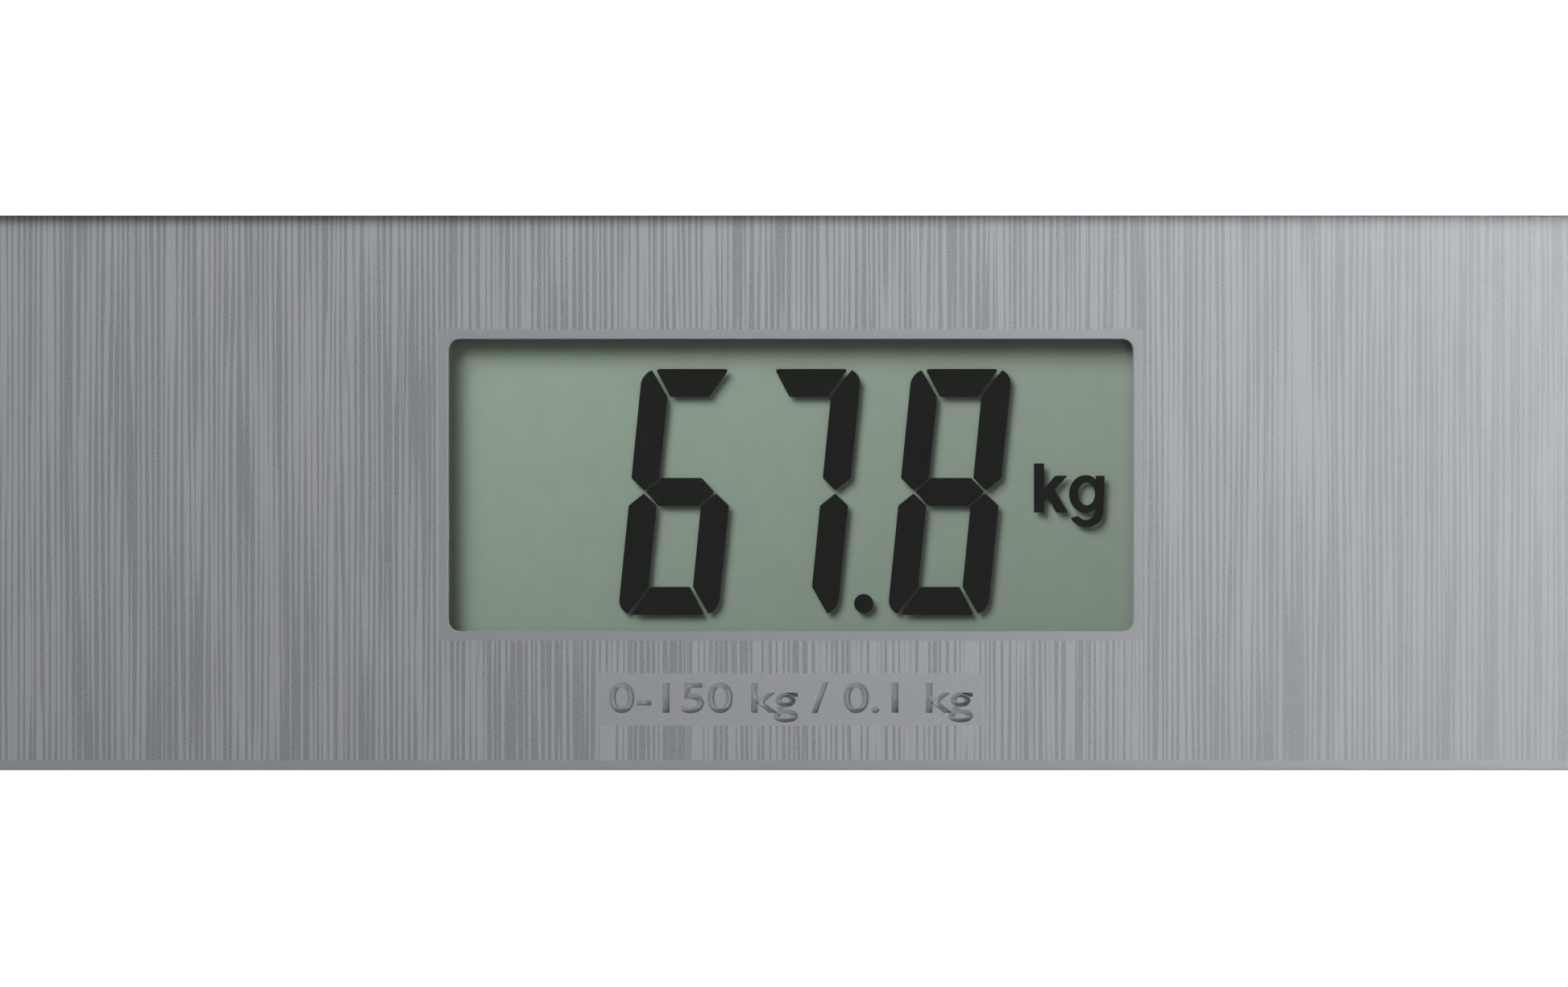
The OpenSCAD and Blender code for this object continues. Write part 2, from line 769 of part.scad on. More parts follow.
module rating_label() {
  color([0.78, 0.79, 0.80])
    translate([0, label_y, tray_z + 0.2 - label_t]) round_plate(label_w, label_d, 2, label_t);
}

// ---------- battery bay ----------

module battery_door() {
  tongue_h = 3;
  tongue_y = bay_y1 - 1.4;
  color([0.88, 0.88, 0.87])
    difference() {
      union() {
        box_between([-door_w / 2, hinge_y, tray_z], [door_w / 2, door_y1, tray_z + door_t]);
        translate([-door_w / 2, hinge_y, hinge_z]) rotate([0, 90, 0])
          cylinder(r = knuckle_r, h = door_w);
        translate([-door_w / 2 - pin_l, hinge_y, hinge_z]) rotate([0, 90, 0])
          cylinder(r = pin_r, h = door_w + 2 * pin_l);
        box_between([-6, tongue_y, tray_z + door_t - eps], [6, tongue_y + 1, tray_z + door_t + tongue_h]);
      }
      // grip grooves by the latch
      for (i = [0:3])
        box_between([-8, door_y1 - 3 - 1.6 * i, tray_z - 1], [8, door_y1 - 2.2 - 1.6 * i, tray_z + 0.4]);
    }
}

// A dry cell with its nub towards +X
module dry_cell() {
  nub_r = 1.9;
  nub_l = 1;
  rotate([0, 90, 0])
    rotate_extrude()
      polygon([[0, 0], [cell_r - 0.5, 0], [cell_r, 0.5], [cell_r, cell_l - nub_l - 0.5],
               [cell_r - 0.5, cell_l - nub_l], [nub_r, cell_l - nub_l], [nub_r, cell_l], [0, cell_l]]);
}

module battery_front() {
  color([0.30, 0.36, 0.45])
    translate([bay_w / 2 - contact_t - cell_l, cell_y[0], cell_z]) dry_cell();
}

module battery_rear() {
  color([0.30, 0.36, 0.45])
    translate([-bay_w / 2 + contact_t + cell_l, cell_y[1], cell_z]) rotate([0, 0, 180]) dry_cell();
}

plate_w = 8;
plate_h = 8;

module contact_plate(side, y) {
  translate([side * (bay_w / 2 - contact_t / 2), y, cell_z])
    cube([contact_t, plate_w, plate_h], center = true);
}

// Coil spring on a plate; it presses on the flat end of the cell
module battery_springs() {
  wire = 0.35;
  turns = 4;
  ring_points = 12;
  color([0.80, 0.80, 0.82])
    for (end = [[-1, cell_y[0]], [1, cell_y[1]]]) {
      contact_plate(end.x, end.y);
      start = bay_w / 2 - contact_t - wire + 0.1;
      reach = spring_room - 2 * wire + 0.05;
      tube(
        [for (i = [0:turns * ring_points])
          let (t = i / (turns * ring_points), a = 360 * turns * t, r = 3.2 - 1.2 * t)
            [end.x * (start - reach * t), end.y + r * cos(a), cell_z + r * sin(a)]],
        wire, [1, 0, 0], 6);
    }
}

module battery_plates() {
  color([0.80, 0.80, 0.82]) {
    contact_plate(1, cell_y[0]);
    contact_plate(-1, cell_y[1]);
  }
}

module battery_leads() {
  for (side = [-1, 1])
    color(side > 0 ? "firebrick" : [0.12, 0.12, 0.12])
      tube(
        route([[side * bay_w / 2, cell_y[0], cell_z],
               [battery_way_x(side), cell_y[0], cell_z],
               [battery_way_x(side), bay_y1, lead_z],
               [battery_way_x(side), band_y0 + 0.5, lead_z],
               [battery_way_x(side), band_y - board_d / 2 - lead_bend - 0.4, board_z + board_t / 2],
               [battery_way_x(side), band_y - board_d / 2, board_z + board_t / 2]], lead_bend),
        lead_r, [0, 0, 1]);
}

module rear_lead(side) {
  exit = [side * (foot_x - load_cell_w / 2), foot_y, (cell_top + cell_bottom) / 2];
  color([0.85, 0.85, 0.83])
    tube(
      route([exit,
             exit - [side * 5, 0, 0],
             [side * (foot_x - pocket_r - 2), foot_y, pocket_top - 2],
             [side * (foot_x - pocket_r - 10), foot_y, lead_z],
             [side * (board_w / 2 + lead_run), rear_lead_y, lead_z],
             [side * (board_w / 2 + lead_end), rear_lead_y, board_z + board_t / 2],
             [side * board_w / 2, rear_lead_y, board_z + board_t / 2]], lead_bend),
      lead_r, [0, 0, 1]);
}

module front_lead(side) {
  exit = [side * foot_x, -foot_y + load_cell_w / 2, (cell_top + cell_bottom) / 2];
  color([0.85, 0.85, 0.83])
    tube(
      route([exit,
             exit + [0, 5, 0],
             [side * foot_x, -foot_y + pocket_r + 2, pocket_top - 2],
             [side * foot_x, -foot_y + pocket_r + 10, lead_z],
             [side * foot_x, front_lead_y, lead_z],
             [side * (board_w / 2 + lead_run), front_lead_y, lead_z],
             [side * (board_w / 2 + lead_end), front_lead_y, board_z + board_t / 2],
             [side * board_w / 2, front_lead_y, board_z + board_t / 2]], lead_bend),
      lead_r, [0, 0, 1]);
}

// ---------- feet ----------

// Steel plate with a slot round its middle tongue, which bends as the foot presses on it
module load_cell(side) {
  reach = load_cell_w / 2 - 7;
  color([0.70, 0.71, 0.72])
    at_foot(side)
      difference() {
        translate([0, 0, cell_bottom]) round_plate(load_cell_w, load_cell_w, 3, load_cell_t);
        for (x = [-1, 1]) {
          translate([x * (tongue_w / 2 + slot_w / 2), -0.5, cell_bottom])
            cube([slot_w, 2 * reach - 1, 4], center = true);
          translate([x * cell_screw_x, 0, cell_bottom - 1])
            cylinder(r = cell_screw_r + 0.2, h = load_cell_t + 2);
        }
        translate([0, -reach + slot_w / 2, cell_bottom])
          cube([tongue_w + 2 * slot_w, slot_w, 4], center = true);
      }
}

module load_cell_screws() {
  color([0.75, 0.75, 0.78])
    for (side = FEET, x = [-1, 1])
      at_foot(side)
        translate([x * cell_screw_x, 0, cell_bottom])
          pan_screw(cell_screw_r, load_cell_t + land_h + 0.8, 2.2, cell_screw_head);
}

// White sealant over the gauges, on top of each cell's tongue
module strain_gauges() {
  color("white")
    for (side = FEET)
      at_foot(side) translate([0, 6, cell_top]) round_plate(9, 5, 1, 0.7);
}

module foot_cushion(side) {
  color([0.75, 0.75, 0.72])
    at_foot(side) translate([0, 0, boss_top]) cylinder(r = boss_r - 0.3, h = cell_bottom - boss_top);
}

module foot_cup(side) {
  flange_top_z = flange_bottom + cup_flange_t;
  cup_web_top = pad_h + 1.4;
  color([0.82, 0.82, 0.81])
    at_foot(side)
      rotate_extrude($fn = 96)
        polygon([[0, pad_h], [pad_r + 0.1, pad_h], [pad_r + 0.1, cup_bottom],
                 [cup_r - 1.8, cup_bottom], [cup_r - 0.4, cup_bottom + 0.8],
                 [cup_r, cup_bottom + 1.8], [cup_r, flange_bottom],
                 [cup_flange_r, flange_bottom], [cup_flange_r, flange_top_z],
                 [cup_r - 1.4, flange_top_z], [cup_r - 1.8, cup_web_top],
                 [boss_r + 1.2, cup_web_top], [boss_r, boss_top], [0, boss_top]]);
}

// Rubber pad with ring grooves in its sole
module foot_pad(side) {
  groove = 0.8;
  color([0.22, 0.22, 0.23])
    at_foot(side)
      rotate_extrude($fn = 96)
        difference() {
          polygon([[0, 0], [pad_r - 0.6, 0], [pad_r, 0.6], [pad_r, pad_h], [0, pad_h]]);
          for (i = [1:4]) translate([pad_r - 3.2 * i, -1]) square([groove, 1 + groove]);
        }
}

module foot_retainer(side) {
  color([0.60, 0.60, 0.60])
    at_foot(side)
      difference() {
        translate([0, 0, tray_z]) cylinder(r = retainer_out, h = retainer_t, $fn = 96);
        translate([0, 0, tray_z - 1]) cylinder(r = retainer_in, h = retainer_t + 2, $fn = 96);
      }
}

glass_platform();
back_print();
bonding_tape();
display_gasket();
display_fascia();
lcd_front_glass();
lcd_segments();
lcd_rear_glass();
lcd_reflector();
lcd_holder();
zebra_strip();
main_board();
board_parts();
controller_blob();
board_screws();
switch_body();
switch_plunger();
unit_button();
base_tray();
rating_label();
battery_door();
battery_front();
battery_rear();
battery_springs();
battery_plates();
battery_leads();
load_cell_screws();
strain_gauges();
load_cell(FEET[0]);  // load_cell_rear_left
load_cell(FEET[1]);  // load_cell_rear_right
load_cell(FEET[2]);  // load_cell_front_left
load_cell(FEET[3]);  // load_cell_front_right
foot_cushion(FEET[0]);  // foot_cushion_rear_left
foot_cushion(FEET[1]);  // foot_cushion_rear_right
foot_cushion(FEET[2]);  // foot_cushion_front_left
foot_cushion(FEET[3]);  // foot_cushion_front_right
foot_cup(FEET[0]);  // foot_cup_rear_left
foot_cup(FEET[1]);  // foot_cup_rear_right
foot_cup(FEET[2]);  // foot_cup_front_left
foot_cup(FEET[3]);  // foot_cup_front_right
foot_pad(FEET[0]);  // foot_pad_rear_left
foot_pad(FEET[1]);  // foot_pad_rear_right
foot_pad(FEET[2]);  // foot_pad_front_left
foot_pad(FEET[3]);  // foot_pad_front_right
foot_retainer(FEET[0]);  // foot_retainer_rear_left
foot_retainer(FEET[1]);  // foot_retainer_rear_right
foot_retainer(FEET[2]);  // foot_retainer_front_left
foot_retainer(FEET[3]);  // foot_retainer_front_right
rear_lead(-1);  // lead_rear_left
rear_lead(1);  // lead_rear_right
front_lead(-1);  // lead_front_left
front_lead(1);  // lead_front_right
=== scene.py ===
# Electronic personal scale: looks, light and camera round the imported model.
import json
import math

import bmesh
import bpy
from mathutils import Matrix, Vector


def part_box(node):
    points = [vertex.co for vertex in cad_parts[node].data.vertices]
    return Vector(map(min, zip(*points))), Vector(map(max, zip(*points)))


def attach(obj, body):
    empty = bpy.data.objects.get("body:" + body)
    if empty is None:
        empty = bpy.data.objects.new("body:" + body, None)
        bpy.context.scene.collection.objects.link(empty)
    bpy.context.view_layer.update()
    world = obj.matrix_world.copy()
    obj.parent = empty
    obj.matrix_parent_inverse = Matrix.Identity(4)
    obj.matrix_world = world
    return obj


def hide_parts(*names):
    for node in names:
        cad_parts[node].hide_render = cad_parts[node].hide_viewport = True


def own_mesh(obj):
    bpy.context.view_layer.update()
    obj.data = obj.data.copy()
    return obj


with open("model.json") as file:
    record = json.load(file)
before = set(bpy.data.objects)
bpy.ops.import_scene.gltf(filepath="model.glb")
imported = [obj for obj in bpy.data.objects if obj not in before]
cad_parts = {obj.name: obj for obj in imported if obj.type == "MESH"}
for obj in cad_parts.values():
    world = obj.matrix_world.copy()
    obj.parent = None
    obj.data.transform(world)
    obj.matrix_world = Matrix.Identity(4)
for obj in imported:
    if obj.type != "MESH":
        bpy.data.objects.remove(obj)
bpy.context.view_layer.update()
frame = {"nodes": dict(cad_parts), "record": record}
nodes = frame["nodes"]
mm = 0.001
feet = ["rear_left", "rear_right", "front_left", "front_right"]


def boxOf(node):
    low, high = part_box(node)
    return Vector(low), Vector(high)


def middleOf(node):
    low, high = boxOf(node)
    return (low + high) / 2


# ---- shader wiring ----

class Wire:  # an output socket that can be used in sums
    def __init__(self, finish, socket):
        self.finish = finish
        self.socket = socket

    def __add__(self, other): return self.finish.sum("ADD", self, other)
    def __radd__(self, other): return self.finish.sum("ADD", other, self)
    def __sub__(self, other): return self.finish.sum("SUBTRACT", self, other)
    def __rsub__(self, other): return self.finish.sum("SUBTRACT", other, self)
    def __mul__(self, other): return self.finish.sum("MULTIPLY", self, other)
    def __rmul__(self, other): return self.finish.sum("MULTIPLY", other, self)
    def __truediv__(self, other): return self.finish.sum("DIVIDE", self, other)
    def __pow__(self, other): return self.finish.sum("POWER", self, other)
    def __lt__(self, other): return self.finish.sum("LESS_THAN", self, other)
    def __gt__(self, other): return self.finish.sum("GREATER_THAN", self, other)


class Finish:  # one material and the tools that wire it
    def __init__(self, name):
        self.material = bpy.data.materials.new(name)
        self.material.use_nodes = True
        self.tree = self.material.node_tree
        self.tree.nodes.clear()
        self.place = self.node("ShaderNodeTexCoord", out="Object")

    def node(self, kind, settings=None, sockets=None, out=0):
        made = self.tree.nodes.new(kind)
        for key, value in (settings or {}).items():
            if key == "stops":
                ramp = made.color_ramp
                while len(ramp.elements) < len(value):
                    ramp.elements.new(0.5)
                for element, (at, colour) in zip(ramp.elements, value):
                    element.position = at
                    element.color = (*colour, 1)
            else:
                setattr(made, key, value)
        for key, value in (sockets or {}).items():
            target = made.inputs[key]
            if isinstance(value, Wire):
                self.tree.links.new(value.socket, target)
            elif isinstance(value, (tuple, list, Vector)):
                wanted = len(target.default_value)
                target.default_value = (*value, 1)[:wanted] if wanted == 4 else tuple(value)
            else:
                target.default_value = value
        return Wire(self, made.outputs[out])

    def sum(self, operation, a, b=0.0):
        return self.node("ShaderNodeMath", {"operation": operation}, {0: a, 1: b})

    def mix(self, share, a, b):
        return self.node("ShaderNodeMix", {"data_type": "RGBA"}, {0: share, 6: a, 7: b}, out=2)

    def shade(self, colour, amount):  # colour times a number or a second colour
        return self.node("ShaderNodeMix", {"data_type": "RGBA", "blend_type": "MULTIPLY"},
                         {0: 1.0, 6: colour, 7: amount}, out=2)

    def stretched(self, scale, offset=(0, 0, 0)):  # the place, scaled along each axis
        return self.node("ShaderNodeMapping", None,
                         {"Vector": self.place, "Scale": scale, "Location": offset})

    def noise(self, where, scale=1.0, detail=2.0, rough=0.5, seed=0.0):
        return self.node("ShaderNodeTexNoise", {"noise_dimensions": "4D"},
                         {"Vector": where, "W": seed, "Scale": scale, "Detail": detail,
                          "Roughness": rough})

    def cells(self, where, scale=1.0):
        return self.node("ShaderNodeTexVoronoi", {"feature": "F1"}, {"Vector": where, "Scale": scale})

    def between(self, value, low, high, toLow=0.0, toHigh=1.0, soft=True):
        return self.node("ShaderNodeMapRange",
                         {"interpolation_type": "SMOOTHSTEP" if soft else "LINEAR"},
                         {"Value": value, "From Min": low, "From Max": high,
                          "To Min": toLow, "To Max": toHigh})

    def axes(self):
        split = self.tree.nodes.new("ShaderNodeSeparateXYZ")
        self.tree.links.new(self.place.socket, split.inputs[0])
        return [Wire(self, s) for s in split.outputs]

    def bump(self, height, strength, distance, under=None):
        sockets = {"Strength": strength, "Distance": distance, "Height": height}
        if under:
            sockets["Normal"] = under
        return self.node("ShaderNodeBump", None, sockets)

    def surface(self, **values):
        names = {"colour": "Base Color", "rough": "Roughness", "metal": "Metallic",
                 "normal": "Normal", "coat": "Coat Weight", "gloss": "Specular IOR Level"}
        return self.node("ShaderNodeBsdfPrincipled", None,
                         {names[key]: value for key, value in values.items()})

    def end(self, shader):
        output = self.tree.nodes.new("ShaderNodeOutputMaterial")
        self.tree.links.new(shader.socket, output.inputs["Surface"])
        return self.material


# ---- finishes ----

def mouldedPlastic(name, colour, grain=3500, grainDepth=0.012, rough=0.42, clouds=0.05, gloss=0.5):
    f = Finish(name)
    spark = f.noise(f.place, grain, 3, 0.6)
    flow = f.noise(f.stretched((22, 35, 60)), 1, 3, 0.6, 2)
    rub = f.noise(f.place, 260, 4, 0.7, 5)
    tone = f.between(flow, 0.3, 0.7, 1 - clouds, 1 + clouds)
    tone = tone * f.between(spark, 0.3, 0.7, 0.97, 1.03)
    sheen = rough + 0.1 * (rub - 0.5) + 0.12 * (spark - 0.5)
    return f.end(f.surface(colour=f.shade(colour, tone), rough=sheen, gloss=gloss,
                           normal=f.bump(spark, 0.5, grainDepth * mm)))


def softRubber(name, colour, grain=2200, rough=0.72, dust=0.25, dustColour=(0.42, 0.41, 0.39)):
    f = Finish(name)
    skin = f.noise(f.place, grain, 4, 0.65)
    dusty = f.between(f.noise(f.place, 190, 5, 0.7, 3), 0.48, 0.75) * dust
    body = f.mix(dusty, f.shade(colour, f.between(skin, 0.3, 0.7, 0.85, 1.15)), dustColour)
    sheen = rough + 0.16 * (skin - 0.5) + 0.1 * dusty
    return f.end(f.surface(colour=body, rough=sheen, gloss=0.35, normal=f.bump(skin, 0.6, 0.02 * mm)))


def platedSteel(name, colour, brush=(90, 2600, 2600), rough=0.3, stain=0.12, metal=1.0):
    f = Finish(name)
    lines = f.noise(f.stretched(brush), 1, 3, 0.6)
    spots = f.between(f.noise(f.place, 320, 4, 0.6, 7), 0.52, 0.72)
    tone = f.between(lines, 0.3, 0.7, 0.9, 1.08)
    body = f.mix(spots * stain, f.shade(colour, tone), (0.30, 0.28, 0.25))
    sheen = rough + 0.22 * (lines - 0.5) + 0.2 * stain * spots
    return f.end(f.surface(colour=body, metal=metal, rough=sheen, normal=f.bump(lines, 0.25, 0.01 * mm)))


def foam(name, colour, pores=2600, rough=0.9):
    f = Finish(name)
    cell = f.cells(f.place, pores)
    cloud = f.noise(f.place, 140, 3, 0.6)
    tone = f.between(cell, 0.1, 0.7, 0.72, 1.08) * f.between(cloud, 0.3, 0.7, 0.94, 1.05)
    return f.end(f.surface(colour=f.shade(colour, tone), rough=rough, gloss=0.2,
                           normal=f.bump(cell, 0.7, 0.05 * mm)))


def cableSheath(name, colour):
    f = Finish(name)
    skin = f.noise(f.place, 1500, 3, 0.6)
    scuff = f.between(f.noise(f.place, 120, 4, 0.7, 4), 0.5, 0.7)
    base = f.shade(colour, f.between(skin, 0.3, 0.7, 0.92, 1.06))
    body = f.mix(scuff * 0.2, base, (0.45, 0.44, 0.42))
    return f.end(f.surface(colour=body, rough=0.45 + 0.2 * (skin - 0.5),
                           normal=f.bump(skin, 0.3, 0.01 * mm)))


def clearGlass(name, tint, smear=0.02):
    f = Finish(name)
    haze = f.between(f.noise(f.stretched((16, 11, 16)), 1, 5, 0.6, 3), 0.45, 0.75)
    through = f.node("ShaderNodeBsdfTransparent", None, {"Color": tint})
    mirror = f.node("ShaderNodeBsdfGlossy", None,
                    {"Color": (1, 1, 1), "Roughness": 0.01 + haze * smear})
    facing = f.node("ShaderNodeLayerWeight", None, {"Blend": 0.5}, out="Facing")
    part = 0.04 + 0.96 * facing ** 5  # the same from both sides of a face
    return f.end(f.node("ShaderNodeMixShader", None, {0: part, 1: through, 2: mirror}))


def glassEdge(name, low, high, ground=False):  # what shows in the thickness of the plate
    f = Finish(name)
    x, y, z = f.axes()
    depth = f.between(z, low, high, soft=False)
    streak = f.noise(f.stretched((60, 60, 900)), 1, 3, 0.6)
    deep, pale = (0.20, 0.52, 0.43), (0.46, 0.76, 0.67)
    if ground:
        deep, pale = (0.60, 0.80, 0.74), (0.78, 0.90, 0.86)
    body = f.shade(f.mix(depth, deep, pale), f.between(streak, 0.3, 0.7, 0.9, 1.1))
    rough = (0.34 if ground else 0.09) + 0.16 * (streak - 0.5)
    return f.end(f.surface(colour=body, rough=rough, gloss=0.6, coat=0.6 if not ground else 0.1,
                           normal=f.bump(streak, 0.2, 0.01 * mm)))


def whitePrint(name):
    f = Finish(name)
    mesh = f.noise(f.place, 5200, 2, 0.5)
    cloud = f.noise(f.place, 30, 3, 0.5, 2)
    tone = f.between(mesh, 0.3, 0.7, 0.985, 1.01) * f.between(cloud, 0.3, 0.7, 0.99, 1.005)
    return f.end(f.surface(colour=f.shade((0.93, 0.93, 0.93), tone), rough=0.5 + 0.1 * (mesh - 0.5),
                           normal=f.bump(mesh, 0.2, 0.004 * mm)))


# ---- the glass platform ----

glassPlate = {"corner": 20 * mm, "arris": 0.8 * mm, "cornerSteps": 20, "ease": 0.22 * mm}


def newPiece(name, mesh, *materials):
    piece = bpy.data.objects.new(name, mesh)
    bpy.context.scene.collection.objects.link(piece)
    for material in materials:
        mesh.materials.append(material)
    return piece


def meshFrom(bm, name, smoothBelow=None):
    mesh = bpy.data.meshes.new(name)
    bm.to_mesh(mesh)
    bm.free()
    if smoothBelow is not None:
        mesh.shade_smooth()
        mesh.set_sharp_from_angle(angle=math.radians(smoothBelow))
    return mesh


def roundedLoop(centre, width, depth, radius, steps):
    points = []
    for turn, (sx, sy) in enumerate([(1, 1), (-1, 1), (-1, -1), (1, -1)]):
        cx = centre.x + sx * (width / 2 - radius)
        cy = centre.y + sy * (depth / 2 - radius)
        for i in range(steps + 1):
            a = math.pi / 2 * (turn + i / steps)
            points.append((cx + radius * math.cos(a), cy + radius * math.sin(a)))
    return points


def ringOf(bm, points, z):
    return [bm.verts.new((x, y, z)) for x, y in points]


def skinBetween(bm, a, b, slot=0):
    count = len(a)
    made = []
    for i in range(count):
        face = bm.faces.new((a[i], a[(i + 1) % count], b[(i + 1) % count], b[i]))
        face.material_index = slot
        made.append(face)
    return made


def roundTurn(start, corner, stop, steps):
    points = []
    for s in range(steps + 1):
        t = s / steps
        points.append(tuple((1 - t) ** 2 * start + 2 * (1 - t) * t * corner + t * t * stop))
    return points


def easedProfile(height, bevel, ease, steps=3):
    # inset and height pairs up a bevelled edge, its four corners slightly eased
    corners = [(bevel + 4 * ease, 0), (bevel, 0), (0, bevel), (0, height - bevel),
               (bevel, height), (bevel + 4 * ease, height)]
    path = [corners[0]]
    for i in range(1, 5):
        before, here, after = (Vector(corners[i + k]) for k in (-1, 0, 1))
        start = here + (before - here).normalized() * ease
        stop = here + (after - here).normalized() * ease
        path += roundTurn(start, here, stop, steps)
    path.append(corners[5])
    return path


def makeGlassPlate():
    low, high = boxOf("glass_platform")
    size, centre = high - low, (low + high) / 2
    bm = bmesh.new()
    rings = []
    for inset, height in easedProfile(size.z, glassPlate["arris"], glassPlate["ease"]):
        loop = roundedLoop(centre, size.x - 2 * inset, size.y - 2 * inset,
                           glassPlate["corner"] - inset, glassPlate["cornerSteps"])
        rings.append((inset, height, ringOf(bm, loop, low.z + height)))
    bm.faces.new(list(reversed(rings[0][2])))
    bm.faces.new(rings[-1][2])
    for a, b in zip(rings, rings[1:]):
        upright = abs(a[0] - b[0]) < 0.01 * mm and b[1] - a[1] > 1 * mm
        level = abs(a[1] - b[1]) < 0.001 * mm
        skinBetween(bm, a[2], b[2], 0 if level else 1 if upright else 2)
    bmesh.ops.recalc_face_normals(bm, faces=bm.faces)
    piece = newPiece("glass_plate", meshFrom(bm, "glass_plate", 25),
                     clearGlass("platform_glass_clear", (0.990, 0.997, 0.994)),
                     glassEdge("platform_glass_edge", low.z, high.z),
                     glassEdge("platform_glass_arris", low.z, high.z, True))
    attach(piece, "platform")
    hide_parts("glass_platform")


print("glass platform")
makeGlassPlate()

# ---- striped fascia with its window ----

band = {"stripePitch": 0.62, "stripesPerMm": 4.2, "runPerMm": 0.022, "hidden": 1.5 * mm,
        "darkTone": (0.316, 0.323, 0.341), "paleTone": (0.427, 0.429, 0.452),
        "margin": 0.95 * mm, "windowMargin": 1.0 * mm, "rough": 0.31, "metal": 0.6,
        "windowRadius": 1.1 * mm, "lip": 0.06 * mm,
        "patchWidth": 39 * mm, "patchDepth": 5.3 * mm, "patchDrop": 21.75 * mm}
window = {"width": 69.4 * mm, "depth": 29.6 * mm, "shift": 0.8 * mm}
bandMiddle = middleOf("display_fascia")
windowMiddle = Vector((bandMiddle.x, bandMiddle.y + window["shift"], bandMiddle.z))


def insideBox(f, x, y, cx, cy, width, depth, soft=0.06 * mm):
    across = f.between(f.sum("ABSOLUTE", x - cx), width / 2 - soft, width / 2 + soft, 1.0, 0.0)
    along = f.between(f.sum("ABSOLUTE", y - cy), depth / 2 - soft, depth / 2 + soft, 1.0, 0.0)
    return across * along


def stripedSatin(name):
    f = Finish(name)
    x, y, z = f.axes()
    perMm = 1 / mm
    streaks = lambda across, along, detail, seed=0: f.noise(
        f.stretched((across * perMm, along * perMm, 0)), 1, detail, 0.5, seed)
    fine = f.noise(f.stretched((band["stripesPerMm"] * perMm, band["runPerMm"] * perMm, 0)), 1, 1.5, 0.55)
    sway = streaks(0.5, 0.015, 1, 11)
    wave = f.sum("SINE", x * (2 * math.pi / band["stripePitch"] * perMm) + 14 * sway)
    wide = streaks(0.5, 0.035, 1, 3)
    hue = streaks(1.1, 0.05, 2, 8)
    grain = streaks(11, 11, 1, 5)
    line = f.between(0.34 * wave + 2.3 * (fine - 0.5) + 1.8 * (wide - 0.5), -0.14, 0.14)

    low, high = boxOf("display_fascia")
    frontEdge = low.y + band["hidden"] + band["margin"]  # the gasket hides the rim of the panel
    plainFront = f.between(y, frontEdge, frontEdge + 0.06 * mm, 1.0, 0.0)
    plainWindow = insideBox(f, x, y, windowMiddle.x, windowMiddle.y,
                            window["width"] + 2 * band["windowMargin"],
                            window["depth"] + 2 * band["windowMargin"])
    plainPatch = insideBox(f, x, y, windowMiddle.x, windowMiddle.y - band["patchDrop"],
                           band["patchWidth"], band["patchDepth"])
    plain = f.sum("MAXIMUM", plainFront, f.sum("MAXIMUM", plainWindow, plainPatch))
    line = line * (1 - plain) + 0.42 * plain + 0.28 * plainPatch

    cool = f.mix(f.between(hue, 0.35, 0.65), (0.985, 1.0, 1.03), (1.02, 1.0, 0.995))
    tinted = f.shade(f.mix(line, band["darkTone"], band["paleTone"]), cool)
    # painted light: the panel's colour grows lighter towards its rear edge, standing in for the key light's
    # fall-off across it
    paintedFalloff = f.between(y, low.y, high.y, 0.94, 1.10, False)
    body = f.shade(tinted, f.between(grain, 0.2, 0.8, 0.74, 1.26, False) * paintedFalloff)
    rough = band["rough"] + 0.05 * (line - 0.5) + 0.12 * (grain - 0.5)
    return f.end(f.surface(colour=body, metal=band["metal"], rough=rough, gloss=0.5,
                           normal=f.bump(grain, 0.25, 0.004 * mm)))


def makeFascia(material):
    low, high = boxOf("display_fascia")
    bm = bmesh.new()
    corners = [(low.x, low.y), (high.x, low.y), (high.x, high.y), (low.x, high.y)]
    outer = [ringOf(bm, corners, z) for z in (low.z, high.z)]
    lip, thick = band["lip"], high.z - low.z
    steps = [(0, 0), (0, thick - lip)]
    for a in (math.pi / 8 * k for k in (1, 2, 3, 4)):
        steps.append((-lip * (1 - math.cos(a)), thick - lip * (1 - math.sin(a))))
    steps.append((-2.2 * lip, thick))  # a level ring keeps the shading of the top flat
    inner = []
    for inset, height in steps:
        loop = roundedLoop(windowMiddle, window["width"] - 2 * inset, window["depth"] - 2 * inset,
                           band["windowRadius"] - inset, 8)
        inner.append(ringOf(bm, loop, low.z + height))
    skinBetween(bm, outer[0], outer[1])
    for a, b in zip(inner, inner[1:]):
        skinBetween(bm, b, a)
    for rim, hole in ((outer[0], inner[0]), (outer[1], inner[-1])):
        rim = [rim[2], rim[3], rim[0], rim[1]]  # both start at the rear right corner
        each = len(hole) // 4
        for corner in range(4):
            here, onward = rim[corner], rim[(corner + 1) % 4]
            first = corner * each
            for k in range(first, first + each - 1):
                bm.faces.new((here, hole[k], hole[k + 1]))
            bm.faces.new((here, hole[first + each - 1], hole[(first + each) % len(hole)], onward))
    bmesh.ops.recalc_face_normals(bm, faces=bm.faces)
    piece = newPiece("striped_panel", meshFrom(bm, "striped_panel", 40), material)
    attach(piece, "platform")
    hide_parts("display_fascia")


print("striped fascia")
makeFascia(stripedSatin("striped_satin"))

# ---- liquid crystal figures and unit sign ----

figures = {"height": 25.0, "width": 10.2, "stroke": 2.85, "gap": 0.29, "lean": 5.7, "outer": 1.62,
           "places": [-17.6, -5.5, 9.8], "foot": -13.2, "shown": ["acdefg", "abc", "abcdefg"],
           "pointX": 7.4, "pointY": -12.05, "pointRadius": 0.98, "ease": 0.14,
           "unitX": 24.7, "unitY": -2.8}


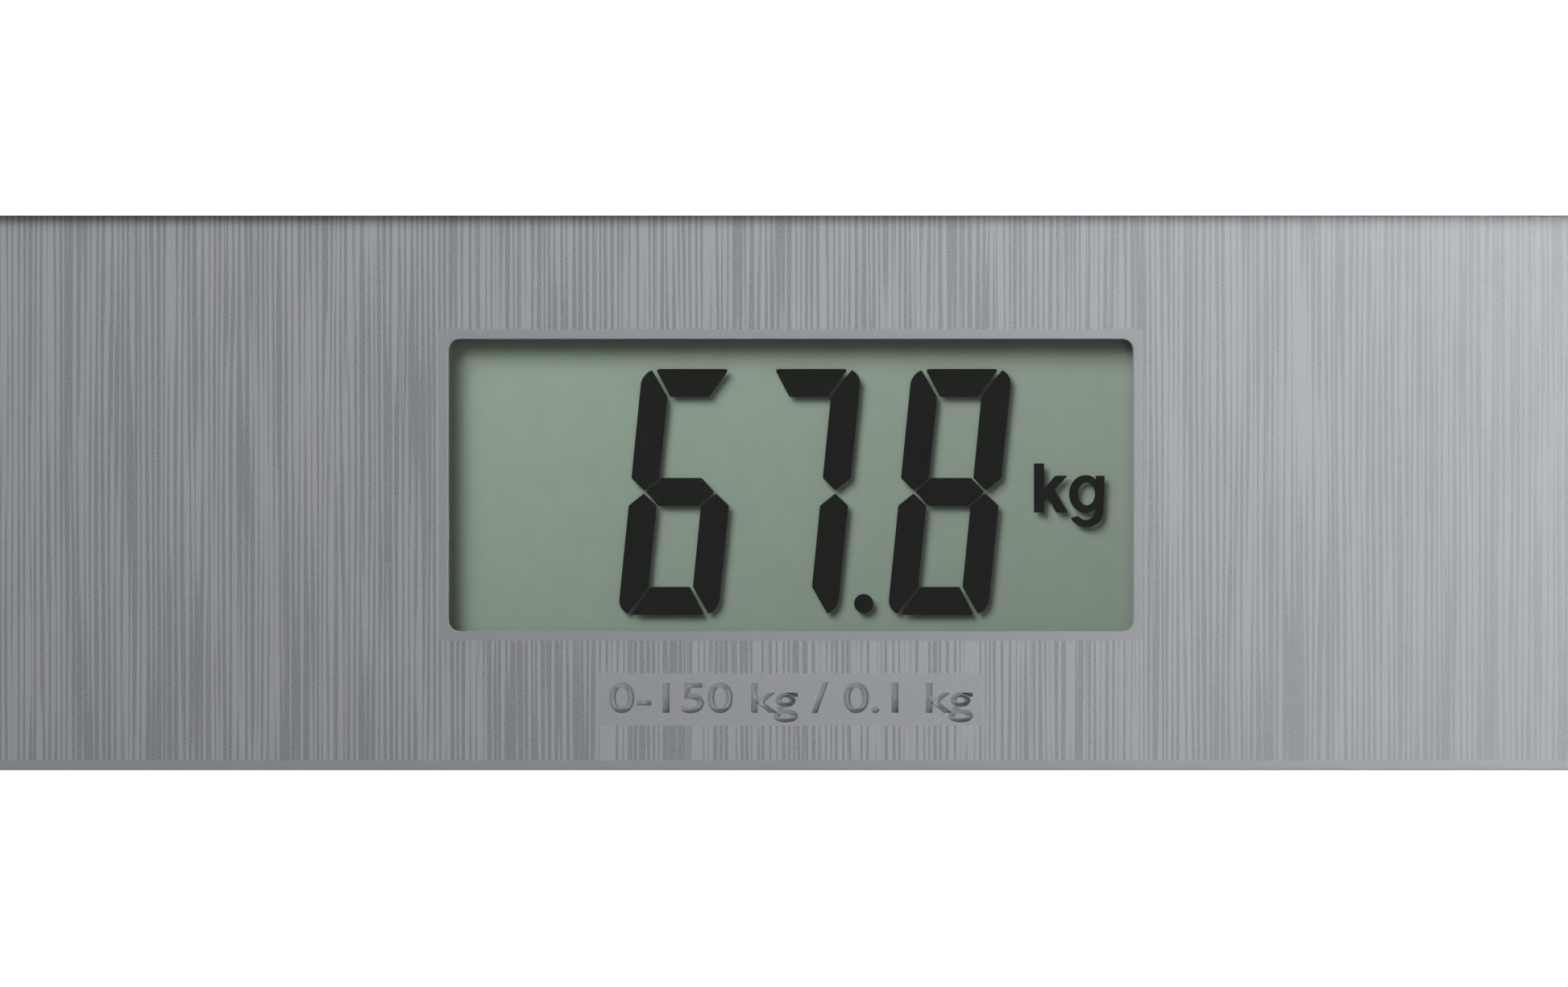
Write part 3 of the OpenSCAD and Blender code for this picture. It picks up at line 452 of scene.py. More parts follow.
def easedOutline(points, ease, steps=4):
    made = []
    count = len(points)
    for i in range(count):
        before, here, after = (Vector(points[(i + k) % count]) for k in (-1, 0, 1))
        a, b = before - here, after - here
        turn = a.angle(b, math.pi)
        reach = min(ease, a.length * 0.4, b.length * 0.4)
        if turn > math.radians(160):
            made.append(tuple(here))
            continue
        made += roundTurn(here + a.normalized() * reach, here, here + b.normalized() * reach, steps)
    return made


def segmentOutline(letter):
    h, w, s, gap, outer = (figures[k] for k in ("height", "width", "stroke", "gap", "outer"))
    tip = 1.25
    upright = [(0, h / 2 + gap / 2 + tip), (s / 2, h / 2 + gap / 2), (s, h / 2 + gap / 2 + tip), (s, h - s)]
    upright += [(outer * (1 + math.cos(math.radians(a))), h - outer * (1 - math.sin(math.radians(a))))
                for a in range(112, 181, 4)]
    bar = [(s + gap, h - s), (outer - 0.42 + gap, h - 0.20), (outer - 0.28 + gap, h),
           (w - outer + 0.28 - gap, h), (w - outer + 0.42 - gap, h - 0.20), (w - s - gap, h - s)]
    middle = [(s / 2 + 0.2, h / 2), (s + 0.2, h / 2 + s / 2), (w - s - 0.2, h / 2 + s / 2),
              (w - s / 2 - 0.2, h / 2), (w - s - 0.2, h / 2 - s / 2), (s + 0.2, h / 2 - s / 2)]
    across = lambda pts: [(w - x, y) for x, y in pts]
    down = lambda pts: [(x, h - y) for x, y in pts]
    shapes = {"a": bar, "b": across(upright), "c": across(down(upright)), "d": down(bar),
              "e": down(upright), "f": upright, "g": middle}
    return shapes[letter]


def arc(cx, cy, rx, ry, start, end, steps):
    return [(cx + rx * math.cos(math.radians(start + (end - start) * i / steps)),
             cy + ry * math.sin(math.radians(start + (end - start) * i / steps))) for i in range(steps + 1)]


def unitOutlines():
    letterK = [(0, 0), (1.05, 0), (1.05, 1.12), (1.42, 1.52), (2.28, 0), (3.5, 0), (2.12, 2.3),
               (3.42, 3.75), (2.14, 3.75), (1.05, 2.42), (1.05, 5.0), (0, 5.0)]
    shift = 3.55
    bowl = arc(1.72, 1.88, 1.70, 1.94, -50, -310, 26)
    tail = arc(1.78, 0.02, 1.72, 1.52, 0, -158, 16)
    inner = arc(1.74, 0.06, 0.86, 0.80, -152, 0, 14)
    letterG = [(3.65, 3.75), (3.50, 0.1)] + tail + inner + [(2.70, 0.36)]
    letterG += bowl[1:-1] + [(2.70, 3.36), (2.72, 3.75)]
    hole = arc(1.80, 1.90, 0.86, 1.16, 0, 346, 22)
    return [[letterK], [[(x + shift, y) for x, y in letterG], [(x + shift, y) for x, y in hole]]]


def prism(bm, loops, low, high):
    # closed flat-topped body over outlines; the loops after the first are holes
    floors, tops = [], []
    for points in loops:
        floors.append(ringOf(bm, points, low))
        tops.append(ringOf(bm, points, high))
        skinBetween(bm, floors[-1], tops[-1])
    for rings in (floors, tops):
        edges = []
        for ring in rings:
            edges += [bm.edges.get((ring[i], ring[(i + 1) % len(ring)])) for i in range(len(ring))]
        bmesh.ops.triangle_fill(bm, use_beauty=True, edges=edges)


def makeFigures():
    low, high = boxOf("lcd_segments")
    bm = bmesh.new()
    slope = math.tan(math.radians(figures["lean"]))
    place = lambda x, y: (windowMiddle.x + x * mm, windowMiddle.y + y * mm)
    for at, letters in zip(figures["places"], figures["shown"]):
        for letter in letters:
            outline = easedOutline(segmentOutline(letter), figures["ease"])
            prism(bm, [[place(at + x + y * slope, figures["foot"] + y) for x, y in outline]], low.z, high.z)
    dotRadius = figures["pointRadius"]
    dot = arc(figures["pointX"], figures["pointY"], dotRadius, dotRadius, 0, 350, 35)
    prism(bm, [[place(*p) for p in dot]], low.z, high.z)
    for loops in unitOutlines():
        eased = [easedOutline(loops[0], 0.08)] + loops[1:]
        prism(bm, [[place(figures["unitX"] + x, figures["unitY"] + y) for x, y in loop] for loop in eased],
              low.z, high.z)
    bmesh.ops.remove_doubles(bm, verts=bm.verts, dist=0.0005 * mm)
    bmesh.ops.recalc_face_normals(bm, faces=bm.faces)
    f = Finish("crystal_ink")
    cloud = f.noise(f.place, 420, 3, 0.6)
    twist = f.noise(f.place, 60, 2, 0.5, 4)
    tone = f.between(cloud, 0.3, 0.7, 0.9, 1.1) * f.between(twist, 0.3, 0.7, 0.94, 1.06)
    ink = f.end(f.surface(colour=f.shade((0.0085, 0.0092, 0.0080), tone),
                          rough=0.6 + 0.1 * (cloud - 0.5), gloss=0.0))
    piece = newPiece("crystal_figures", meshFrom(bm, "crystal_figures"), ink)
    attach(piece, "platform")
    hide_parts("lcd_segments")


def reflectorFilm(name):
    f = Finish(name)
    low, high = boxOf("lcd_reflector")
    x, y, z = f.axes()
    pearl = f.noise(f.place, 9000, 2, 0.6)
    mottle = f.noise(f.place, 520, 4, 0.65, 2)
    # painted light: the film is lighter towards its left and rear edges and darker towards the front right,
    # in place of the key light's fall-off
    paintedFalloff = f.between(x, low.x, high.x, 1.03, 0.93, False)
    paintedFalloff = paintedFalloff * f.between(y, low.y, high.y, 0.84, 1.14, False)
    tone = f.between(pearl, 0.25, 0.75, 0.965, 1.035) * f.between(mottle, 0.3, 0.7, 0.975, 1.02) * paintedFalloff
    return f.end(f.surface(colour=f.shade((0.268, 0.321, 0.267), tone), gloss=0.05,
                           rough=0.6 + 0.1 * (pearl - 0.5), normal=f.bump(pearl, 0.15, 0.003 * mm)))


print("display")
makeFigures()

# ---- faint capacity line on the plain patch ----

capacityLine = {"words": "0-150 kg / 0.1 kg", "height": 3.1 * mm, "width": 36.9 * mm, "raise": 0.004 * mm,
                "bold": 0.016}


def makeCapacityLine():
    text = bpy.data.curves.new("capacity_line", "FONT")
    text.body = capacityLine["words"]
    text.align_x, text.align_y = "CENTER", "CENTER"
    text.size, text.offset = 1, capacityLine["bold"]
    carrier = bpy.data.objects.new("capacity_carrier", text)
    bpy.context.scene.collection.objects.link(carrier)
    mesh = bpy.data.meshes.new_from_object(carrier.evaluated_get(bpy.context.evaluated_depsgraph_get()))
    bpy.data.objects.remove(carrier)
    xs = [v.co.x for v in mesh.vertices]
    sx = capacityLine["width"] / (max(xs) - min(xs))
    sy = capacityLine["height"] / 0.729  # capitals stand this high at size one
    top = boxOf("display_fascia")[1].z
    bm = bmesh.new()
    bm.from_mesh(mesh)
    bpy.data.meshes.remove(mesh)
    bmesh.ops.remove_doubles(bm, verts=bm.verts, dist=1e-5)
    midX = (max(xs) + min(xs)) / 2
    for v in bm.verts:
        v.co = Vector((windowMiddle.x + (v.co.x - midX) * sx,
                       windowMiddle.y - band["patchDrop"] + v.co.y * sy, top))
    raised = bmesh.ops.extrude_face_region(bm, geom=bm.faces[:])
    for v in (g for g in raised["geom"] if isinstance(g, bmesh.types.BMVert)):
        v.co.z += capacityLine["raise"]
    bmesh.ops.recalc_face_normals(bm, faces=bm.faces)
    f = Finish("faint_ink")
    speck = f.noise(f.place, 8000, 2, 0.6)
    ink = f.end(f.surface(colour=f.shade((0.322, 0.329, 0.345), f.between(speck, 0.3, 0.7, 0.93, 1.07)),
                          rough=0.34 + 0.1 * (speck - 0.5), metal=0.6))
    piece = newPiece("capacity_print", meshFrom(bm, "capacity_print"), ink)
    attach(piece, "platform")


makeCapacityLine()

# ---- finishes of the nodes that keep their CAD shape ----

print("finishes")
trayPlastic = mouldedPlastic("tray_shell", (0.80, 0.80, 0.785), 3200, 0.014, 0.40, 0.025)
doorPlastic = mouldedPlastic("door_shell", (0.79, 0.79, 0.775), 3200, 0.014, 0.42, 0.025)
footPlastic = mouldedPlastic("foot_shell", (0.57, 0.57, 0.56), 2800, 0.016, 0.46, 0.04)
footRubber = softRubber("foot_sole", (0.030, 0.030, 0.032))
screwSteel = platedSteel("zinc_screw", (0.62, 0.62, 0.64), (900, 900, 2400), 0.32)
springSteel = platedSteel("nickel_spring", (0.70, 0.69, 0.67), (700, 700, 700), 0.24, 0.06)
cellSteel = platedSteel("stamped_cell", (0.55, 0.555, 0.56), (2600, 60, 2600), 0.34, 0.2)


def boardLaminate(name):
    f = Finish(name)
    x, y, z = f.axes()
    weave = f.noise(f.stretched((1400, 1400, 200)), 1, 2, 0.5)
    perMm = 1 / mm
    gridX = f.sum("ABSOLUTE", f.sum("FRACT", x * (perMm / 2.54)) - 0.5)
    patches = f.noise(f.stretched((90, 300, 1)), 1, 1, 0.4, 6)
    track = f.between(gridX, 0.34, 0.38) * f.between(patches, 0.5, 0.53)
    mask = f.shade((0.018, 0.105, 0.045), f.between(weave, 0.3, 0.7, 0.85, 1.15))
    body = f.mix(track, mask, (0.045, 0.20, 0.085))
    return f.end(f.surface(colour=body, rough=0.34 + 0.15 * (weave - 0.5), coat=0.4,
                           normal=f.bump(track, 0.3, 0.03 * mm)))


def connectorRubber(name):  # carbon and insulator layers, packed along the strip
    f = Finish(name)
    x, y, z = f.axes()
    layer = f.between(f.sum("ABSOLUTE", f.sum("FRACT", x * (10 / mm)) - 0.5), 0.2, 0.3)
    skin = f.noise(f.place, 2500, 3, 0.6)
    body = f.mix(layer, (0.02, 0.02, 0.02), (0.62, 0.44, 0.50))
    return f.end(f.surface(colour=f.shade(body, f.between(skin, 0.3, 0.7, 0.93, 1.07)),
                           rough=0.6 + 0.1 * (skin - 0.5)))


def labelFilm(name):
    f = Finish(name)
    brushed = f.noise(f.stretched((70, 3200, 100)), 1, 3, 0.6)
    dull = f.between(f.noise(f.place, 150, 4, 0.6, 3), 0.5, 0.7)
    body = f.shade((0.60, 0.61, 0.62), f.between(brushed, 0.3, 0.7, 0.9, 1.08))
    return f.end(f.surface(colour=body, metal=0.8, rough=0.3 + 0.2 * (brushed - 0.5) + 0.1 * dull,
                           normal=f.bump(brushed, 0.15, 0.006 * mm)))


def batterySleeve(name, node):  # a plain two-tone sleeve with bare metal ends
    low, high = boxOf(node)
    f = Finish(name)
    x, y, z = f.axes()
    length = high.x - low.x
    metalEnd = f.sum("MAXIMUM", f.between(x, low.x + 0.03 * length, low.x + 0.034 * length, 1.0, 0.0),
                     f.between(x, high.x - 0.05 * length, high.x - 0.046 * length))
    fromEnd = 0.72 if node == "battery_front" else 0.06  # the pale ring is on the nub's side
    start, stop = low.x + fromEnd * length, low.x + (fromEnd + 0.22) * length
    ring = f.between(x, start, start + 0.1 * mm) * f.between(x, stop - 0.1 * mm, stop, 1.0, 0.0)
    skin = f.noise(f.stretched((400, 1500, 1500)), 1, 3, 0.6)
    sleeve = f.mix(ring, (0.020, 0.040, 0.090), (0.52, 0.42, 0.20))
    body = f.mix(metalEnd, f.shade(sleeve, f.between(skin, 0.3, 0.7, 0.9, 1.1)), (0.62, 0.62, 0.63))
    return f.end(f.surface(colour=body, metal=f.sum("MAXIMUM", metalEnd, ring * 0.7), coat=0.4,
                           rough=0.3 + 0.15 * (skin - 0.5), normal=f.bump(skin, 0.1, 0.01 * mm)))


def partsFinish(name):  # cans, chips and capacitors, told apart by their place on the board
    f = Finish(name)
    x, y, z = f.axes()
    boardY = middleOf("main_board").y
    brushed = f.noise(f.stretched((1800, 1800, 500)), 1, 2, 0.5)
    chips = f.between(y, boardY - 13 * mm, boardY - 12.9 * mm, 1.0, 0.0)
    caps = f.between(x, 10 * mm, 10.1 * mm) * f.between(y, boardY + 10 * mm, boardY + 10.1 * mm)
    body = f.mix(chips, f.mix(caps, (0.62, 0.63, 0.65), (0.42, 0.28, 0.14)), (0.015, 0.015, 0.017))
    bare = (1 - chips) * (1 - caps)
    return f.end(f.surface(colour=f.shade(body, f.between(brushed, 0.3, 0.7, 0.9, 1.08)), metal=bare,
                           rough=0.34 + 0.2 * (brushed - 0.5)))


def leadPair(name):  # the right-hand battery lead is red, the left-hand one black
    f = Finish(name)
    x, y, z = f.axes()
    skin = f.noise(f.place, 1500, 3, 0.6)
    body = f.mix(f.between(x, -0.1 * mm, 0.1 * mm), (0.018, 0.018, 0.020), (0.42, 0.022, 0.018))
    return f.end(f.surface(colour=f.shade(body, f.between(skin, 0.3, 0.7, 0.9, 1.1)),
                           rough=0.42 + 0.2 * (skin - 0.5), normal=f.bump(skin, 0.3, 0.01 * mm)))


finishOf = {
    "back_print": whitePrint("white_back_print"),
    "bonding_tape": foam("foam_strip", (0.80, 0.80, 0.78)),
    "display_gasket": foam("black_foam_frame", (0.020, 0.020, 0.021), 3200),
    "lcd_front_glass": clearGlass("panel_front_glass", (0.994, 0.998, 0.995), 0.03),
    "lcd_rear_glass": clearGlass("panel_rear_glass", (0.994, 0.998, 0.995), 0.03),
    "lcd_reflector": reflectorFilm("pearl_film"),
    "lcd_holder": mouldedPlastic("holder_black", (0.022, 0.022, 0.024), 3000, 0.012, 0.5, 0.08),
    "zebra_strip": connectorRubber("layered_connector"),
    "main_board": boardLaminate("board_mask"),
    "board_parts": partsFinish("small_parts"),
    "controller_blob": mouldedPlastic("potting_black", (0.012, 0.012, 0.013), 900, 0.02, 0.22, 0.1),
    "switch_body": mouldedPlastic("switch_black", (0.020, 0.020, 0.022), 3000, 0.012, 0.45, 0.08),
    "switch_plunger": mouldedPlastic("plunger_red", (0.42, 0.030, 0.020), 2600, 0.008, 0.28, 0.05),
    "unit_button": mouldedPlastic("button_grey", (0.14, 0.145, 0.155), 3400, 0.016, 0.44, 0.04),
    "rating_label": labelFilm("blank_label"),
    "battery_front": batterySleeve("sleeve_front", "battery_front"),
    "battery_rear": batterySleeve("sleeve_rear", "battery_rear"),
    "battery_plates": springSteel,
    "battery_leads": leadPair("battery_lead_pair"),
    "strain_gauges": softRubber("gauge_sealant", (0.80, 0.80, 0.78), 1600, 0.38, 0.05, (0.70, 0.70, 0.66)),
}
for corner in feet:
    finishOf["load_cell_" + corner] = cellSteel
    finishOf["foot_retainer_" + corner] = footPlastic
    finishOf["lead_" + corner] = cableSheath("sheath_" + corner, (0.60, 0.60, 0.57))
for node, material in finishOf.items():
    for holder in nodes[node].material_slots:
        holder.material = material

# ---- tray and battery door: CAD shapes with their edges broken ----

softEdges = {"tray": 0.22 * mm, "door": 0.16 * mm, "steps": 2, "sharperThan": 28}


def easedCopy(node, name, width, material):
    source = nodes[node]
    bm = bmesh.new()
    bm.from_mesh(source.data)
    bmesh.ops.remove_doubles(bm, verts=bm.verts, dist=0.002 * mm)
    bmesh.ops.dissolve_limit(bm, angle_limit=math.radians(0.6), verts=bm.verts, edges=bm.edges)
    piece = newPiece(name, meshFrom(bm, name, softEdges["sharperThan"]))
    piece.data.materials.clear()
    piece.data.materials.append(material)
    bevel = piece.modifiers.new("edges", "BEVEL")
    bevel.width = width
    bevel.segments = softEdges["steps"]
    bevel.limit_method = "ANGLE"
    bevel.angle_limit = math.radians(softEdges["sharperThan"])
    bevel.use_clamp_overlap = True
    return piece


def settle(piece):
    shown = piece.evaluated_get(bpy.context.evaluated_depsgraph_get())
    mesh = bpy.data.meshes.new_from_object(shown)
    piece.modifiers.clear()
    piece.data = mesh
    return piece


print("tray and door")
tray = settle(easedCopy("base_tray", "tray_shell", softEdges["tray"], trayPlastic))
tray.data.shade_smooth()
tray.data.set_sharp_from_angle(angle=math.radians(softEdges["sharperThan"]))
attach(tray, "platform")
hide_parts("base_tray")

# ---- repeated shapes ----

class Growth:  # a geometry node tree with named inputs
    def __init__(self, name):
        self.tree = bpy.data.node_groups.new(name, "GeometryNodeTree")
        self.tree.interface.new_socket("Geometry", in_out="INPUT", socket_type="NodeSocketGeometry")
        self.tree.interface.new_socket("Geometry", in_out="OUTPUT", socket_type="NodeSocketGeometry")
        self.into = self.tree.nodes.new("NodeGroupInput")
        self.kinds = {float: "NodeSocketFloat", int: "NodeSocketInt", Vector: "NodeSocketVector",
                      bpy.types.Object: "NodeSocketObject", bpy.types.Material: "NodeSocketMaterial"}
        self.asked = {}

    def ask(self, label, value):
        kind = next(k for k in self.kinds if isinstance(value, k))
        made = self.tree.interface.new_socket(label, in_out="INPUT", socket_type=self.kinds[kind])
        self.asked[made.identifier] = value
        return self.into.outputs[made.identifier]

    def node(self, kind, settings=None, sockets=None, out=0):
        made = self.tree.nodes.new(kind)
        for key, value in (settings or {}).items():
            setattr(made, key, value)
        for key, value in (sockets or {}).items():
            if isinstance(value, bpy.types.NodeSocket):
                self.tree.links.new(value, made.inputs[key])
            else:
                made.inputs[key].default_value = value
        return made.outputs[out]

    def end(self, shape, material):
        real = self.node("GeometryNodeRealizeInstances", None, {0: shape})
        painted = self.node("GeometryNodeSetMaterial", None, {"Geometry": real, "Material": material})
        output = self.tree.nodes.new("NodeGroupOutput")
        self.tree.links.new(painted, output.inputs[0])

    def grow(self, piece):
        modifier = piece.modifiers.new(self.tree.name, "NODES")
        modifier.node_group = self.tree
        for identifier, value in self.asked.items():
            modifier[identifier] = tuple(value) if isinstance(value, Vector) else value
        return settle(piece)


def lathe(bm, profile, centre, steps):
    # profile runs from the axis round the shape and back to the axis
    rings = []
    turns = [2 * math.pi * i / steps for i in range(steps)]
    for r, z in profile:
        if r < 1e-7:
            rings.append([bm.verts.new((centre.x, centre.y, z))])
        else:
            around = [(centre.x + r * math.cos(a), centre.y + r * math.sin(a)) for a in turns]
            rings.append(ringOf(bm, around, z))
    for a, b in zip(rings, rings[1:]):
        for i in range(steps):
            j = (i + 1) % steps
            if len(a) == 1 and len(b) == 1:
                break
            if len(a) == 1:
                bm.faces.new((a[0], b[j], b[i]))
            elif len(b) == 1:
                bm.faces.new((a[i], a[j], b[0]))
            else:
                bm.faces.new((a[i], a[j], b[j], b[i]))
    bmesh.ops.recalc_face_normals(bm, faces=bm.faces)


def eased(profile, ease, steps=3):
    # rounds the inner corners of an open profile
    made = [profile[0]]
    for before, here, after in zip(profile, profile[1:], profile[2:]):
        p, h, q = Vector(before), Vector(here), Vector(after)
        reach = min(ease, (p - h).length * 0.45, (q - h).length * 0.45)
        made += roundTurn(h + (p - h).normalized() * reach, h, h + (q - h).normalized() * reach, steps)
    made.append(profile[-1])
    return made


pad = {"grooves": 4, "groovePitch": 3.2 * mm, "grooveWidth": 0.8 * mm, "grooveDepth": 0.8 * mm,
       "ease": 0.14 * mm, "chamfer": 0.6 * mm, "nibs": 60,
       "nibSize": Vector((0.5 * mm, 0.9 * mm, 0.35 * mm))}
cup = {"ribs": 72, "ribSize": Vector((0.45 * mm, 0.5 * mm, 1.9 * mm)), "ribHeight": 2.75 * mm,
       "ribSink": 0.12 * mm, "shoulder": 1.8 * mm, "flange": 1.1 * mm, "flangeDrop": 1.7 * mm,
       "flangeReach": 2.3 * mm, "rim": 0.1 * mm, "bossRadius": 4 * mm, "ease": 0.2 * mm, "web": 1.4 * mm}


def ringTree(name, centre, radius, count, size, material):
    # ribs in a ring round a centre, joined to the piece's own shape
    g = Growth(name)
    middle = g.ask("Centre", centre)
    reach = g.ask("Radius", float(radius))
    many = g.ask("Count", count)
    bulk = g.ask("Rib size", size)
    paint = g.ask("Material", material)
    ring = g.node("GeometryNodeMeshCircle", {"fill_type": "NONE"}, {"Vertices": many, "Radius": reach})
    rib = g.node("GeometryNodeMeshCube", None, {"Size": bulk})
    index = g.node("GeometryNodeInputIndex")
    share = g.node("ShaderNodeMath", {"operation": "DIVIDE"}, {0: index, 1: many})
    angle = g.node("ShaderNodeMath", {"operation": "MULTIPLY"}, {0: share, 1: 2 * math.pi})
    turn = g.node("ShaderNodeCombineXYZ", None, {"Z": angle})
    placed = g.node("GeometryNodeInstanceOnPoints", None,
                    {"Points": ring, "Instance": rib, "Rotation": turn})
    moved = g.node("GeometryNodeTransform", None, {"Geometry": placed, "Translation": middle})
    real = g.node("GeometryNodeRealizeInstances", None, {0: moved})
    both = g.tree.nodes.new("GeometryNodeJoinGeometry")
    g.tree.links.new(real, both.inputs[0])
    g.tree.links.new(g.into.outputs[0], both.inputs[0])
    g.end(both.outputs[0], paint)
    return g


def makeFoot(corner):
    low, high = boxOf("foot_pad_" + corner)
    radius = (high.x - low.x) / 2
    centre = Vector(((low.x + high.x) / 2, (low.y + high.y) / 2, 0))
    profile = [(0, low.z)]
    for i in range(pad["grooves"], 0, -1):
        inner = radius - pad["groovePitch"] * i
        outer = inner + pad["grooveWidth"]
        top = low.z + pad["grooveDepth"]
        profile += [(inner, low.z), (inner, top), (outer, top), (outer, low.z)]
    profile += [(radius - pad["chamfer"], low.z), (radius, low.z + pad["chamfer"]),
                (radius, high.z), (0, high.z)]
    bm = bmesh.new()
    lathe(bm, eased(profile, pad["ease"]), centre, 96)
    sole = newPiece("sole_" + corner, meshFrom(bm, "sole_" + corner, 35), footRubber)
    nibCentre = Vector((centre.x, centre.y, low.z + pad["nibSize"].z / 2 + 0.02 * mm))
    nibRing = radius - 0.5 * (pad["groovePitch"] + pad["chamfer"])
    ringTree("tread_" + corner, nibCentre, nibRing, pad["nibs"], pad["nibSize"], footRubber).grow(sole)
    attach(sole, "foot_" + corner)
    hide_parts("foot_pad_" + corner)

    cupLow, cupHigh = boxOf("foot_cup_" + corner)
    flangeRadius = (cupHigh.x - cupLow.x) / 2
    wall = flangeRadius - cup["flangeReach"]
    flangeLow = cupHigh.z - cup["flangeDrop"]
    webTop, boss = high.z + cup["web"], cup["bossRadius"]
    shell = [(0, high.z), (radius + cup["rim"], high.z), (radius + cup["rim"], cupLow.z),
             (wall - cup["shoulder"], cupLow.z), (wall - 0.4 * mm, cupLow.z + 0.8 * mm),
             (wall, cupLow.z + 1.8 * mm), (wall, flangeLow), (flangeRadius, flangeLow),
             (flangeRadius, flangeLow + cup["flange"]), (wall - 1.4 * mm, flangeLow + cup["flange"]),
             (wall - 1.8 * mm, webTop), (boss + 1.2 * mm, webTop), (boss, cupHigh.z), (0, cupHigh.z)]
    bm = bmesh.new()
    lathe(bm, eased(shell, cup["ease"]), centre, 96)
    holder = newPiece("cup_" + corner, meshFrom(bm, "cup_" + corner, 35), footPlastic)
    ribCentre = Vector((centre.x, centre.y, cupLow.z + cup["ribHeight"]))
    grip = ringTree("grip_" + corner, ribCentre, wall - cup["ribSink"], cup["ribs"], cup["ribSize"],
                    footPlastic)
    grip.grow(holder)
    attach(holder, "foot_" + corner)
    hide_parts("foot_cup_" + corner)


cushion = {"ease": 0.25 * mm, "steps": 48}
cushionRubber = softRubber("cushion_silicone", (0.46, 0.46, 0.42), 1800, 0.5, 0.1, (0.6, 0.6, 0.57))


def makeCushion(corner):
    # a soft disc between cup and load cell
    low, high = boxOf("foot_cushion_" + corner)
    joint = "foot_" + corner + "_travel"
    travel = next(j for j in frame["record"]["behaviour"]["joints"] if j["name"] == joint)["range_m"][1]
    radius, thick = (high.x - low.x) / 2, high.z - low.z
    centre = (low + high) / 2
    bm = bmesh.new()
    outline = [(0, low.z), (radius, low.z), (radius, high.z), (0, high.z)]
    lathe(bm, eased(outline, cushion["ease"]), centre, cushion["steps"])
    disc = newPiece("cushion_" + corner, meshFrom(bm, "cushion_" + corner, 35), cushionRubber)
    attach(disc, "platform")
    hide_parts("foot_cushion_" + corner)
    (thick - travel) / thick
    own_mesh(disc)


print("feet")
for corner in feet:
    makeFoot(corner)
    makeCushion(corner)

# ---- screws ----

boardScrews = {"head": 2.4 * mm, "headHeight": 1.4 * mm, "shank": 1.25 * mm, "length": 4 * mm}
cellScrews = {"head": 2.2 * mm, "headHeight": 1.0 * mm, "shank": 1.2 * mm, "length": 3.4 * mm}


def screwShape(name, sizes, up):
    # pan head with a cross recess, its seat at the origin; up says where the shank points
    bm = bmesh.new()
    head, tall, shank, length = (sizes[k] for k in ("head", "headHeight", "shank", "length"))
    steps = 24
    turns = 5
    crown = [(head * math.cos(a), -tall * (0.35 + 0.65 * math.sin(a)))
             for a in (math.pi / 10 * k for k in (4, 3, 2, 1))]
    rings = [(0.30 * head, -tall * 0.45), (0.62 * head, -tall * 0.97)] + crown
    rings += [(head, -tall * 0.3), (head, 0), (shank, 0)]
    for k in range(turns * 2):  # thread as shallow rings
        z = length * (k + 0.5) / (turns * 2 + 1)
        rings.append((shank * (0.82 if k % 2 else 1.0), z))
    rings += [(shank * 0.5, length), (0, length)]
    profile = [(0, -tall * 0.45)] + rings
    lathe(bm, profile, Vector((0, 0, 0)), steps)
    for v in bm.verts:  # pinch the dish into a cross
        r = math.hypot(v.co.x, v.co.y)
        if v.co.z < -tall * 0.4 and 0.01 * mm < r < 0.64 * head:
            a = math.atan2(v.co.y, v.co.x)
            arm = abs(math.cos(2 * a)) ** 2
            v.co.x *= 0.45 + 0.55 * arm
            v.co.y *= 0.45 + 0.55 * arm
    if not up:
        bmesh.ops.rotate(bm, verts=bm.verts, cent=(0, 0, 0), matrix=Matrix.Rotation(math.pi, 3, "X"))
    return newPiece(name, meshFrom(bm, name, 35), screwSteel)


def screwField(name, node, places, shape):
    g = Growth(name)
    source = g.ask("Screw", shape)
    paint = g.ask("Material", screwSteel)
    spin = g.ask("Turn", 2.4)
    info = g.node("GeometryNodeObjectInfo", None, {"Object": source}, out="Geometry")
    index = g.node("GeometryNodeInputIndex")
    angle = g.node("ShaderNodeMath", {"operation": "MULTIPLY"}, {0: index, 1: spin})
    turn = g.node("ShaderNodeCombineXYZ", None, {"Z": angle})
    placed = g.node("GeometryNodeInstanceOnPoints", None,
                    {"Points": g.into.outputs[0], "Instance": info, "Rotation": turn})
    g.end(placed, paint)
    bm = bmesh.new()
    for place in places:
        bm.verts.new(place)
    piece = g.grow(newPiece(name, meshFrom(bm, name)))
    bpy.data.objects.remove(shape)
    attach(piece, "platform")
    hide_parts(node)


print("screws")
low, high = boxOf("board_screws")
seat = boxOf("main_board")[1].z
screwField("board_fixings", "board_screws",
           [(x, y, seat) for x in (low.x + boardScrews["head"], high.x - boardScrews["head"])
            for y in (low.y + boardScrews["head"], high.y - boardScrews["head"])],
           screwShape("board_screw", boardScrews, False))
cellPlaces = []
for corner in feet:
    low, high = boxOf("load_cell_" + corner)
    middle = (low + high) / 2
    reach = (high.x - low.x) / 2 - 4.5 * mm
    for side in (-1, 1):  # rear cells are turned, so their screws stand along Y
        if corner.startswith("rear"):
            cellPlaces.append((middle.x, middle.y + side * reach, low.z))
        else:
            cellPlaces.append((middle.x + side * reach, middle.y, low.z))
screwField("cell_fixings", "load_cell_screws", cellPlaces, screwShape("cell_screw", cellScrews, True))

# ---- battery springs ----

coil = {"wire": 0.35 * mm, "turns": 4.25, "wide": 3.2 * mm, "narrow": 2.0 * mm, "plate": 8 * mm,
        "plateThick": 0.4 * mm}


